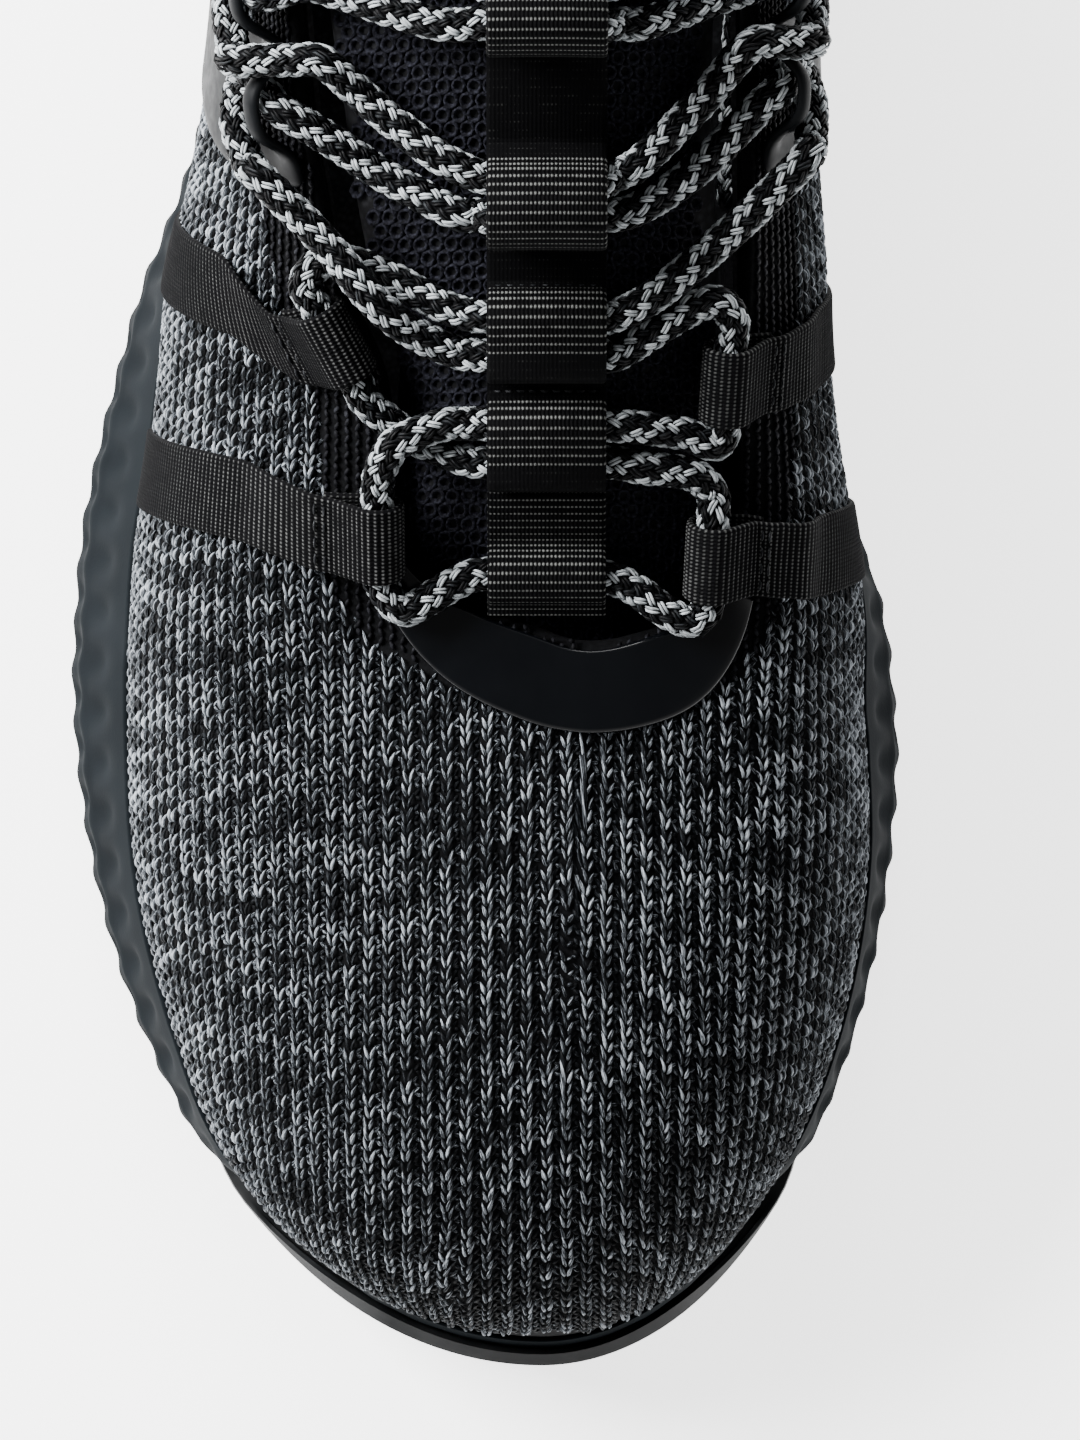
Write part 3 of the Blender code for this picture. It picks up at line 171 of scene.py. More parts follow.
# How the webbing passes over the lace: (distance from the crossing, lift), over two strands side by side,
# over two that swap places, and over the single one under the bottom tab.
KEEPER_FLAT = ((-6.5, 0.8), (-5.8, 1.2), (-5.5, 2.6), (-5.0, 4.5), (-3.9, 5.6), (-2.4, 5.9), (0, 5.95),
               (2.4, 5.9), (3.9, 5.6), (5.0, 4.5), (5.5, 2.6), (5.8, 1.2), (6.5, 0.8))
KEEPER_STACK = ((-6.6, 0.8), (-5.9, 1.2), (-5.5, 2.6), (-4.9, 5.6), (-4.75, 6.8), (-3.9, 8.4), (-2.2, 9.9),
                (0, 10.7), (2.2, 9.9), (3.9, 8.4), (4.75, 6.8), (4.9, 5.6), (5.5, 2.6), (5.9, 1.2),
                (6.6, 0.8))
# The bottom tab's middle line as (station, height).
TAB_LINE = ((104.0, 65.0), (105.0, 65.4), (105.9, 66.4), (106.4, 67.9), (107.8, 69.3), (109.8, 69.9),
            (111.6, 69.1), (112.7, 68.0), (114.2, 67.7), (116.0, 69.0), (118.0, 70.4), (120.6, 72.2))

HEEL_LOOP_RISE, HEEL_LOOP_BASE = 0.84, 1.0


def along(pairs, at):
    """The value at a station of a smooth curve through (station, value) pairs, level beyond its ends."""
    stations = [pair[0] for pair in pairs]
    values = [pair[1] for pair in pairs]
    if at <= stations[0]:
        return values[0]
    if at >= stations[-1]:
        return values[-1]
    i = bisect.bisect_right(stations, at) - 1
    span = stations[i + 1] - stations[i]
    slopes = []
    for k in (i, i + 1):
        low, high = max(k - 1, 0), min(k + 1, len(values) - 1)
        slopes.append((values[high] - values[low]) / (stations[high] - stations[low]) * span)
    s = (at - stations[i]) / span
    return (
        values[i] * (1 + 2 * s) * (1 - s) ** 2
        + slopes[0] * s * (1 - s) ** 2
        + values[i + 1] * s * s * (3 - 2 * s)
        - slopes[1] * s * s * (1 - s)
    )


def ramp(at, start, end):
    """0 before start, 1 after end, smooth between."""
    s = min(max((at - start) / (end - start), 0.0), 1.0)
    return s * s * (3 - 2 * s)


def side_and_station(angle):
    side = LATERAL if math.sin(angle) >= 0 else MEDIAL
    return side, LENGTH / 2 * (1 - math.cos(angle))


def angle_at(side, at):
    angle = math.acos(1 - 2 * at / LENGTH)
    return angle if side == LATERAL else 2 * math.pi - angle


def heel_closing(at):
    """What is left of the breadth round the heel."""
    turn = max(at - HEEL_ELLIPSE_START, 0) / (LENGTH - HEEL_ELLIPSE_START)
    return math.sqrt(max(1 - turn * turn, 0))


def outline(angle):
    """The plan (x, station) of the sole's widest edge."""
    side, at = side_and_station(angle)
    length, breadth = TOE_ELLIPSE[side]
    if at < length:
        half = breadth * math.sqrt(1 - (1 - at / length) ** 2)
    else:
        half = along(HALF_BREADTH[side], at)
    return np.array((along(AXIS_X, at) + side * half * heel_closing(at), at))


def outward(angle):
    step = outline(angle + 0.01) - outline(angle - 0.01)
    return np.array((-step[1], step[0])) / np.linalg.norm(step)


def edge(angle, inset, height):
    """A point the given distance inside the sole's edge. Its height is a function of its own station."""
    x, at = outline(angle) - inset * outward(angle)
    return np.array((x, at, height(at)))


def bite_height(at):
    return along(BITE_HEIGHT, at)


def bed_height(at):
    return along(BED_HEIGHT, at)


def feather_inset(angle):
    side, at = side_and_station(angle)
    return along(FEATHER_INSET[side], at)


def opening(angle):
    side, at = side_and_station(angle)
    rows = OPENING[side]
    x, station, height = [along([(row[0], row[k]) for row in rows], at) for k in (1, 2, 3)]
    return np.array((COLLAR_X + (x - COLLAR_X) * heel_closing(at), station, height))


def upper_point(angle, rise):
    """A point on the outer face of the upper. Below 0 it runs down inside the sole's rim."""
    side, at = side_and_station(angle)
    foot = edge(angle, feather_inset(angle), bite_height)
    if rise < 0:
        return foot + (0, 0, rise * (foot[2] - bed_height(foot[1]) - GAP))
    if rise > 1:
        last = upper_point(angle, 1)
        return last + (rise - 1) * (last - upper_point(angle, 0.97)) / 0.03
    top = opening(angle)
    straight = along(STRAIGHTNESS, at)
    turn = rise * math.pi / 2
    power = 2 / WALL_POWER
    inwards = (1 - straight) * (1 - math.cos(turn) ** power) + straight * rise
    upwards = (1 - straight) * math.sin(turn) ** power + straight * rise
    bulge = along(BULGE[side], at) * math.sin(math.pi * rise**0.8)
    point = foot + (top - foot) * (inwards, inwards, upwards)
    return point + bulge * np.array((*outward(angle), 0))


def upper_normal(angle, rise):
    rise = min(max(rise, 0.02), 0.98)
    up = upper_point(angle, rise + 0.02) - upper_point(angle, rise - 0.02)
    round_shoe = upper_point(angle + 0.02, rise) - upper_point(angle - 0.02, rise)
    normal = np.cross(up, round_shoe)
    return normal / np.linalg.norm(normal)


def on_upper(angle, rise, lift):
    return upper_point(angle, rise) + lift * upper_normal(angle, rise)


def throat_edge(side, at):
    """x and height of the upper's edge beside the tongue."""
    rows = OPENING[side]
    at = max(at, THROAT_SETTLES)
    return along([(row[2], row[1]) for row in rows], at), along([(row[2], row[3]) for row in rows], at)


def tongue_point(x, at):
    """A point on the outer face of the tongue, which arches between the throat's edges."""
    side = LATERAL if x < CENTRE_X else MEDIAL
    edge_x, edge_height = throat_edge(side, at)
    settle = max(at, THROAT_SETTLES)
    drop = along(TONGUE_RIDGE, settle) - (edge_height - UPPER_THICKNESS - 2.8)
    across = (x - CENTRE_X) / (edge_x - CENTRE_X)
    return np.array((x, at, along(TONGUE_RIDGE, at) - drop * across * across))


def on_tongue(x, at, lift):
    up = tongue_point(x, at + 1) - tongue_point(x, at - 1)
    across = tongue_point(x + 1, at) - tongue_point(x - 1, at)
    normal = np.cross(across, up)
    return tongue_point(x, at) + lift * normal / np.linalg.norm(normal)


def placed(point):
    """A point of the shape, in millimetres, as a vector of the frame in metres."""
    x, at, height = point
    return Vector((x * MM, (at - LENGTH / 2) * MM, height * MM))


def add_object(name, data, finish, group):
    obj = bpy.data.objects.new(name, data)
    group.objects.link(obj)
    if finish is not None:
        data.materials.append(finish)
    return obj


def mesh_object(name, points, faces, finish, group):
    """A smooth-shaded object from points of the shape and faces by index, its normals facing out."""
    mesh = bpy.data.meshes.new(name)
    mesh.from_pydata([placed(point) for point in points], [], faces)
    work = bmesh.new()
    work.from_mesh(mesh)
    bmesh.ops.remove_doubles(work, verts=work.verts, dist=1e-6)
    bmesh.ops.recalc_face_normals(work, faces=work.faces)
    if work.calc_volume(signed=True) < 0:
        bmesh.ops.reverse_faces(work, faces=work.faces)
    work.to_mesh(mesh)
    work.free()
    mesh.shade_smooth()
    mesh.set_sharp_from_angle(angle=math.radians(40))
    return add_object(name, mesh, finish, group)


def ring_angles():
    return [2 * math.pi * i / RING_POINTS for i in range(RING_POINTS)]


def sole_ring(inset, height):
    """A ring round the shoe, from its inset at each angle and its height at each station."""
    return [edge(angle, inset(angle), height) for angle in ring_angles()]


def cap_faces(first, count):
    """Strips across the shoe that close a ring."""
    faces = [(first, first + 1, first + count - 1)]
    for i in range(1, count // 2 - 1):
        faces.append((first + i, first + i + 1, first + count - i - 1, first + count - i))
    middle = count // 2
    faces.append((first + middle - 1, first + middle, first + middle + 1))
    return faces


def closed_loft(name, rings, finish, group):
    """A solid through rings of equal count, with both end rings closed."""
    count = len(rings[0])
    faces = []
    for k in range(len(rings) - 1):
        for i in range(count):
            j = (i + 1) % count
            faces.append((k * count + i, k * count + j, (k + 1) * count + j, (k + 1) * count + i))
    faces += cap_faces(0, count) + cap_faces((len(rings) - 1) * count, count)
    return mesh_object(name, [point for ring in rings for point in ring], faces, finish, group)


def spaced(start, end, count):
    return [start + (end - start) * i / (count - 1) for i in range(count)]


def ground_line(at):
    """The height of the tread above the ground."""
    toe = max(1 - at / TOE_SPRING_LENGTH, 0)
    heel = max((at - LENGTH + HEEL_BEVEL_LENGTH) / HEEL_BEVEL_LENGTH, 0)
    return TOE_SPRING * toe * toe + HEEL_BEVEL * heel * heel


def wall_share(angle):
    """1 at the front of the toe bumper, 0 where the outsole has no wall."""
    return 1 - ramp(side_and_station(angle)[1], 4.0, BUMPER_END)


def hug_share(angle, end):
    """1 round the toe, 0 behind it, fading out up to the given station."""
    return 1 - ramp(side_and_station(angle)[1], BUMPER_END, end)


def midsole_underside(at):
    arch = ARCH_RISE * ramp(at, ARCH[0], ARCH[1]) * (1 - ramp(at, ARCH[2], ARCH[3]))
    return ground_line(at) + OUTSOLE_THICKNESS + GAP + arch


def outsole_loft(name, finish, group):
    """The whole outsole: a plate with a wall round the toe."""
    def side_inset(extra):
        return lambda angle: 4.2 * (1 - hug_share(angle, 42)) + extra

    def wall_inner(extra):
        return lambda a: side_inset(0.8 + (BUMPER_THICKNESS - 0.8) * wall_share(a) + extra)(a)

    def plate(height):
        return lambda at: ground_line(at) + height

    def wall_ring(inset, drop):
        """A ring along the top of the wall, which fades into the plate behind the toe."""
        ring = []
        for angle in ring_angles():
            x, at = outline(angle) - inset(angle) * outward(angle)
            share = wall_share(angle)
            ring.append(np.array((x, at, plate(OUTSOLE_THICKNESS)(at) + (BUMPER_RISE - drop) * share)))
        return ring

    rings = [
        sole_ring(side_inset(3.0), plate(0)),
        sole_ring(side_inset(0.7), plate(0.8)),
        sole_ring(side_inset(0.0), plate(0.6 * OUTSOLE_THICKNESS)),
        wall_ring(side_inset(0.0), 1.2),
        wall_ring(wall_inner(-0.6), 0.0),
        wall_ring(wall_inner(0.0), 0.8),
        sole_ring(wall_inner(0.15), plate(OUTSOLE_THICKNESS)),
    ]
    rings[3] = [point - (0, 0, 0.4) for point in rings[3]]
    return closed_loft(name, rings, finish, group)


def box_points(x, at, height):
    """The corners of a box from its ranges of x, station and height."""
    return [(x[i], at[j], height[k]) for i in (0, 1) for j in (0, 1) for k in (0, 1)]


def box_cutter(name, boxes, group):
    points, faces = [], []
    for ranges in boxes:
        n = len(points)
        points += box_points(*ranges)
        for quad in ((0, 1, 3, 2), (4, 6, 7, 5), (0, 4, 5, 1), (2, 3, 7, 6), (0, 2, 6, 4), (1, 5, 7, 3)):
            faces.append(tuple(n + corner for corner in quad))
    cutter = mesh_object(name, points, faces, None, group)
    cutter.hide_render = True
    cutter.display_type = "WIRE"
    return cutter


def cut(obj, cutter, operation):
    modifier = obj.modifiers.new(cutter.name, "BOOLEAN")
    modifier.object = cutter
    modifier.operation = operation
    modifier.solver = "EXACT"


def padding_depth(angle, rise):
    """The thickness of the collar foam, which swells below the collar's edge and fades out forwards."""
    _, at = side_and_station(angle)
    swell = math.sin(math.pi * min(max((rise - 0.5) / 0.5, 0), 1))
    return 0.6 + 5.0 * swell * (0.35 + 0.65 * ramp(at, 222, 250))


def arc(centre, radius, start, end, count):
    """Points of an arc in the (distance, lift) plane, angles in degrees."""
    turns = [math.radians(degrees) for degrees in spaced(start, end, count)]
    return [(centre[0] + radius * math.cos(t), centre[1] + radius * math.sin(t)) for t in turns]


def loop_place(side, name):
    """Where a lace loop's points lie: (distance back from the fold, distance across, lift) to a point."""
    at_sole, at_throat, reach, stand_off, axis_station = LACE_LOOPS[side, name]
    samples = spaced(0.03, 1.2, 60)

    last_station = upper_point(angle_at(side, at_throat), 1)[1]
    turns = []
    for rise in samples:
        wanted = at_sole + (last_station - at_sole) * min(rise, 1.0)
        low, high = 30.0, 230.0
        for _ in range(24):
            middle = (low + high) / 2
            if upper_point(angle_at(side, middle), min(rise, 1.0))[1] < wanted:
                low = middle
            else:
                high = middle
        turns.append(angle_at(side, low))

    def angle_of(rise):
        return float(np.interp(rise, samples, turns))

    line = [upper_point(angle_of(rise), rise) for rise in samples]
    walked = [0.0]
    for before, after in zip(line, line[1:]):
        walked.append(walked[-1] + np.linalg.norm(after - before))
    fold = float(np.interp(1.0, samples, walked)) + reach

    def rise_of(distance):
        return float(np.interp(fold - distance, walked, samples))

    def step_across(angle, rise):
        return upper_point(angle + 0.01, min(rise, 1)) - upper_point(angle - 0.01, min(rise, 1))

    eye_rise = rise_of(LOOP_EYE)
    eye = upper_point(angle_of(eye_rise), eye_rise)
    out = upper_normal(angle_of(eye_rise), eye_rise)
    axis = step_across(angle_at(side, axis_station), 1.0)
    axis /= np.linalg.norm(axis)
    out = out - (out @ axis) * axis
    out /= np.linalg.norm(out)
    back = np.cross(out, axis)
    back *= np.sign(back @ (upper_point(angle_of(0.5), 0.5) - eye))

    def place(distance, across, lift):
        rise = rise_of(distance)
        lift += stand_off * ramp(rise, 0.62, 0.82)
        turn = across * 0.02 / np.linalg.norm(step_across(angle_of(rise), rise))
        follows = ramp(distance, 7, 24)
        straight = eye + back * (distance - LOOP_EYE) + axis * across + out * lift
        return follows * on_upper(angle_of(rise) + turn, rise, lift) + (1 - follows) * straight

    return place, fold - walked[0]


def on_centre(distance, across, lift):
    """A point over the tongue, lifted the way its ridge faces, so that a strap keeps its width."""
    raised = on_tongue(CENTRE_X, distance, 1.0) - tongue_point(CENTRE_X, distance)
    return tongue_point(CENTRE_X + across, distance) + lift * raised


def heel_place(distance, across, lift):
    """Distance up the back of the heel from the loop's stitching."""
    start = upper_point(math.pi, HEEL_LOOP_RISE)
    up = upper_point(math.pi, 1) - start
    up = up / np.linalg.norm(up)
    normal = upper_normal(math.pi, 0.95)
    return start + up * distance + normal * lift + (across, -across * across * 0.012, 0)


def crossing_points(crossing, from_side, over):
    """The lace under the centre webbing, from one side to the other, a strand's width from its pair."""
    at, swapped = CROSSINGS[crossing]
    spread = LACE_DIAMETER / 2 + 0.22
    points = []
    for share in (-1.0, -0.5, 0.0, 0.5, 1.0):
        if swapped:
            turn = (share + 1) * math.pi / 2
            offset = -spread * math.cos(turn)
            middle = LACE_LIFT + spread * math.cos(share * math.pi / 2)
            lift = middle + (1 if over else -1) * spread * math.sin(turn)
        else:
            offset = spread if over else -spread
            lift = LACE_LIFT
        points.append(on_tongue(CENTRE_X - from_side * share * KEEPER_WIDTH / 2, at + offset, lift))
    return points


def through_loop(side, name):
    """The lace through a lace loop, from its toe end to its heel end."""
    place, _ = loop_place(side, name)
    towards_heel = 1 if side == LATERAL else -1
    steps = (-6.0, -3.0, 0.0, 3.0, 6.0)
    return [place(LOOP_EYE, towards_heel * across, LOOP_BASE + LOOP_EYE) for across in steps]


def round_bar(side, window):
    """The lace past the front of a cage bar, out and back under it."""
    start, end = CAGE_WINDOWS[window]
    middle = (start + end) / 2
    route = ((-8.3, 0.955, 7.2), (-7.2, 0.89, 6.2), (-3.4, 0.82, 4.9), (0.2, 0.79, 3.3), (2.2, 0.81, 2.9),
             (2.4, 0.87, 2.8), (1.2, 0.93, 2.9), (0.0, 0.985, 3.4))
    return [on_upper(angle_at(side, middle + ahead), rise, lift) for ahead, rise, lift in route]


def tucked_end(side):
    """The lace over the throat's edge at the top bar and down inside the shoe, forwards along its wall."""
    route = ((209.5, 1.02, 3.2), (211.0, 1.08, -1.2), (212.5, 1.02, -5.8), (213.0, 0.90, -7.0),
             (211.0, 0.70, -7.2), (206.0, 0.48, -7.6), (197.0, 0.32, -8.0), (185.0, 0.24, -8.5),
             (172.0, 0.21, -9.0), (160.0, 0.2, -9.5))
    return [on_upper(angle_at(side, at), rise, lift) for at, rise, lift in route]


def lace_route(side):
    """Half of the lace, from the bar under the bottom tab to the end tucked inside the shoe.

    Points written out are (x, station, height).
    """
    other = -side
    if side == LATERAL:
        route = [
            [(8.5, 109.8, 66.5), (2.5, 109.8, 66.3), (-2.5, 109.0, 66.1), (-6.8, 106.5, 66.7),
             (-11.0, 104.8, 66.6)],
            through_loop(side, "front"),
            [(-14.0, 122.4, 73.7), (-12.0, 126.6, 76.6), (-7.2, 129.0, 77.6), (-3.6, 129.6, 77.4)],
            crossing_points(0, side, True),
            [(21.5, 129.3, 77.1), (25.6, 128.6, 76.0), (29.6, 127.1, 74.6), (31.8, 127.3, 74.3)],
            through_loop(other, "rear"),
            [(33.4, 143.5, 81.2), (31.2, 145.8, 82.6), (27.0, 144.4, 83.2), (22.2, 140.9, 83.4)],
            crossing_points(1, other, False),
            [(-4.5, 139.4, 82.1), (-9.6, 141.8, 83.9), (-14.8, 146.0, 87.1), (-19.5, 151.6, 87.0),
             (-24.5, 157.6, 86.8)],
            round_bar(side, 0),
            [(-22.0, 168.3, 89.6), (-16.0, 164.2, 88.9), (-9.5, 160.0, 91.1), (-4.2, 157.4, 92.6)],
            crossing_points(2, side, True),
            [(21.5, 164.2, 95.6), (27.0, 169.6, 94.6), (31.8, 175.2, 95.0), (36.0, 179.4, 97.2)],
            round_bar(other, 1),
            [(34.0, 186.5, 99.0), (27.5, 183.4, 101.2), (21.3, 181.6, 104.5)],
            crossing_points(3, other, True),
            [(-4.5, 188.2, 108.4), (-11.5, 190.8, 106.2), (-19.5, 193.6, 103.4), (-26.0, 194.2, 101.6)],
            round_bar(side, 2),
            tucked_end(side),
        ]
    else:
        route = [
            [(14.5, 109.7, 66.3), (19.8, 108.0, 65.9), (24.5, 104.6, 66.2), (28.4, 103.2, 65.8)],
            through_loop(side, "front"),
            [(30.8, 120.4, 71.1), (28.0, 122.9, 72.7), (24.2, 123.6, 74.0), (20.8, 123.8, 75.0)],
            crossing_points(0, side, False),
            [(-4.8, 125.6, 73.5), (-9.6, 128.0, 72.0), (-13.6, 130.6, 72.9), (-16.0, 133.0, 73.8)],
            through_loop(other, "rear"),
            [(-23.9, 148.3, 79.7), (-21.2, 151.3, 80.9), (-15.8, 150.6, 81.7),
             (-9.5, 147.4, 82.8), (-4.6, 144.8, 84.5)],
            crossing_points(1, other, True),
            [(21.5, 145.6, 86.0), (26.5, 149.2, 86.0), (32.0, 154.0, 86.0), (37.5, 159.0, 87.4)],
            round_bar(side, 0),
            [(33.8, 168.8, 90.8), (28.0, 162.6, 90.5), (21.8, 158.4, 92.4)],
            crossing_points(2, side, False),
            [(-4.0, 163.4, 95.8), (-10.0, 167.6, 95.0), (-16.5, 173.0, 94.7), (-22.0, 177.2, 96.2)],
            round_bar(other, 1),
            [(-23.0, 187.0, 98.8), (-17.0, 185.2, 100.4), (-10.0, 182.6, 103.3), (-4.3, 181.4, 105.5)],
            crossing_points(3, other, False),
            [(21.5, 188.4, 107.6), (27.5, 191.2, 104.8), (33.5, 194.6, 103.0), (37.5, 195.8, 102.0)],
            round_bar(side, 2),
            tucked_end(side),
        ]
    return [np.array(point) for stretch in route for point in stretch]


def smooth_route(points, finest):
    """Points along a smooth curve through the given ones, close together where it turns."""
    dense = []
    knots = [2 * points[0] - points[1]] + points + [2 * points[-1] - points[-2]]
    for before, start, end, after in zip(knots, knots[1:], knots[2:], knots[3:]):
        for s in spaced(0, 1, 13)[:-1]:
            dense.append(0.5 * (2 * start + (end - before) * s
                                + (2 * before - 5 * start + 4 * end - after) * s * s
                                + (3 * start - 3 * end + after - before) * s**3))
    dense.append(points[-1])
    kept, walked, turned = [dense[0]], 0.0, 0.0
    for before, here, after in zip(dense, dense[1:], dense[2:]):
        walked += np.linalg.norm(here - before)
        heading, next_heading = here - before, after - here
        cosine = heading @ next_heading / np.linalg.norm(heading) / np.linalg.norm(next_heading)
        turned += math.degrees(math.acos(min(max(cosine, -1), 1)))
        if walked > 2.5 * LACE_DIAMETER or (turned > finest and walked > 1.8):
            kept.append(here)
            walked = turned = 0.0
    return kept + [dense[-1]]


FINE = 0.15


def unit(vectors):
    return vectors / np.maximum(np.linalg.norm(vectors, axis=-1, keepdims=True), 1e-9)


def to_frame(points):
    """Points of the shape, in millimetres, in metres of the frame."""
    return (np.asarray(points, float) - (0, LENGTH / 2, 0)) * MM


def array_mesh(name, points, quads, triangles=()):
    """A smooth-shaded mesh from arrays. Points that no face uses are left out."""
    quads = np.asarray(quads, np.int64).reshape(-1, 4)
    triangles = np.asarray(triangles, np.int64).reshape(-1, 3)
    corners = np.concatenate([quads.ravel(), triangles.ravel()])
    used, corners = np.unique(corners, return_inverse=True)
    points = to_frame(np.asarray(points, float).reshape(-1, 3))[used]
    starts = np.concatenate([4 * np.arange(len(quads)), 4 * len(quads) + 3 * np.arange(len(triangles))])
    mesh = bpy.data.meshes.new(name)
    mesh.vertices.add(len(points))
    mesh.vertices.foreach_set("co", points.astype(np.float32).ravel())
    mesh.loops.add(len(corners))
    mesh.loops.foreach_set("vertex_index", corners.astype(np.int32).ravel())
    mesh.polygons.add(len(starts))
    mesh.polygons.foreach_set("loop_start", starts.astype(np.int32))
    mesh.update(calc_edges=True)
    mesh.shade_smooth()
    return mesh, used


def paint(mesh, name, values):
    """Keeps four numbers at each point of a mesh for its material."""
    layer = mesh.color_attributes.new(name, "FLOAT_COLOR", "POINT")
    layer.data.foreach_set("color", np.asarray(values, np.float32).ravel())


def piece(name, mesh, finish, body="shoe", stands_for=()):
    obj = bpy.data.objects.new(name, mesh)
    bpy.context.scene.collection.objects.link(obj)
    mesh.materials.append(finish)
    if stands_for:
        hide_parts(*stands_for)
    if body:
        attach(obj, body)
    return obj


class Patch:
    """A surface sampled over two parameters, and read between its samples."""

    def __init__(self, sample, first, second):
        self.first, self.second = np.array(first), np.array(second)
        self.points = np.array([[sample(a, b) for b in second] for a in first])
        by_first = np.gradient(self.points, axis=0)
        by_second = np.gradient(self.points, axis=1)
        self.normals = unit(np.cross(by_second, by_first))

    def read(self, values, a, b):
        i = np.interp(a, self.first, np.arange(len(self.first)))
        j = np.interp(b, self.second, np.arange(len(self.second)))
        i0 = np.minimum(i.astype(int), len(self.first) - 2)
        j0 = np.minimum(j.astype(int), len(self.second) - 2)
        s, t = (i - i0)[..., None], (j - j0)[..., None]
        low = values[i0, j0] * (1 - t) + values[i0, j0 + 1] * t
        high = values[i0 + 1, j0] * (1 - t) + values[i0 + 1, j0 + 1] * t
        return low * (1 - s) + high * s

    def at(self, a, b, lift=0.0):
        a, b, lift = np.broadcast_arrays(np.asarray(a, float), np.asarray(b, float), np.asarray(lift, float))
        normal = unit(self.read(self.normals, a, b))
        return self.read(self.points, a, b) + normal * lift[..., None], normal


def round_edge(distance, radius):
    """0 at an edge and 1 from the given distance on, along a quarter circle."""
    return np.sqrt(np.clip(1 - (1 - np.clip(distance / radius, 0, 1)) ** 2, 0, 1))


def edge_samples(count, length, radius):
    """Shares from 0 to 1, with more of them within a radius of both ends."""
    near = radius / length * np.array([0, 0.02, 0.1, 0.25, 0.45, 0.7, 1.0])
    middle = np.linspace(near[-1], 1 - near[-1], count)
    return np.concatenate([near[:-1], middle, 1 - near[-2::-1]])


def two_faces(outer, inner, wraps=False):
    """Faces of a closed shell between two grids of points that meet round their border."""
    rows, columns = outer.shape[:2]
    front = np.arange(rows * columns).reshape(rows, columns)
    back = front + rows * columns
    back[0], back[-1] = front[0], front[-1]
    if wraps:
        front = np.concatenate([front, front[:, :1]], axis=1)
        back = np.concatenate([back, back[:, :1]], axis=1)
    else:
        back[:, 0], back[:, -1] = front[:, 0], front[:, -1]
    faces = []
    for grid, turned in ((front, False), (back, True)):
        quad = [grid[:-1, :-1], grid[:-1, 1:], grid[1:, 1:], grid[1:, :-1]]
        quad = np.stack(quad[::-1] if turned else quad, axis=-1).reshape(-1, 4)
        faces.append(quad)
    points = np.concatenate([outer.reshape(-1, 3), inner.reshape(-1, 3)])
    return points, np.concatenate(faces)


def face_out(mesh):
    """Turns a closed mesh's faces outwards."""
    work = bmesh.new()
    work.from_mesh(mesh)
    if work.calc_volume(signed=True) < 0:
        bmesh.ops.reverse_faces(work, faces=work.faces)
    work.to_mesh(mesh)
    work.free()
    return mesh


def pillow(name, place, row_length, column_length, near, far, radius, counts, wraps=False):
    """A plate between two lifts with rounded edges. place takes shares across and along, and a lift."""
    rows = edge_samples(counts[0], row_length, radius)
    columns = edge_samples(counts[1], column_length, radius)
    if wraps:
        columns = np.linspace(0, 1, counts[1] + 1)[:-1]
    r, c = np.meshgrid(rows, columns, indexing="ij")
    shape = round_edge(np.minimum(r, 1 - r) * row_length, radius)
    if not wraps:
        shape = np.minimum(shape, round_edge(np.minimum(c, 1 - c) * column_length, radius))
    near, far = np.broadcast_to(near(r, c), r.shape), np.broadcast_to(far(r, c), r.shape)
    middle, half = (near + far) / 2, (far - near) / 2
    points, faces = two_faces(place(r, c, middle + half * shape), place(r, c, middle - half * shape), wraps)
    mesh, _ = array_mesh(name, points, faces)
    return face_out(mesh)


def spindles(centres, normals, widths, heights, taper, sides=5):
    """Many short yarns, each along its own row of centres, as one mesh with its painted values' indices.

    centres and normals are (yarns, rings, 3). The first and the last ring shrink to a point.
    """
    count, rings = centres.shape[:2]
    heading = unit(np.gradient(centres, axis=1))
    across = unit(np.cross(heading, normals))
    lift = np.cross(across, heading)
    turns = 2 * np.pi * (np.arange(sides) + 0.5) / sides
    body = np.arange(1, rings - 1)
    radius = np.asarray(taper)[body][None, :, None, None]
    ring = (across[:, body, None] * np.cos(turns)[None, None, :, None] * widths[:, None, None, None]
            + lift[:, body, None] * np.sin(turns)[None, None, :, None] * heights[:, None, None, None])
    ring = centres[:, body, None] + ring * radius / 2
    points = np.concatenate([centres[:, :1], ring.reshape(count, -1, 3), centres[:, -1:]], axis=1)
    each = points.shape[1]
    k = np.arange(sides)
    k2 = (k + 1) % sides
    quads = []
    for row in range(rings - 3):
        low, high = 1 + row * sides, 1 + (row + 1) * sides
        quads.append(np.stack([low + k, low + k2, high + k2, high + k], axis=-1))
    quads = np.concatenate(quads)
    last = 1 + (rings - 3) * sides
    triangles = np.concatenate([np.stack([np.zeros(sides, int), 1 + k2, 1 + k], axis=-1),
                                np.stack([np.full(sides, each - 1), last + k, last + k2], axis=-1)])
    offsets = (np.arange(count) * each)[:, None, None]
    length_share = np.concatenate([[0], np.repeat(np.linspace(0, 1, rings)[body], sides), [1]])
    turn_share = np.concatenate([[0.25], np.tile((k + 0.5) / sides, len(body)), [0.25]])
    return (points.reshape(-1, 3), (quads[None] + offsets).reshape(-1, 4),
            (triangles[None] + offsets).reshape(-1, 3), length_share, turn_share)


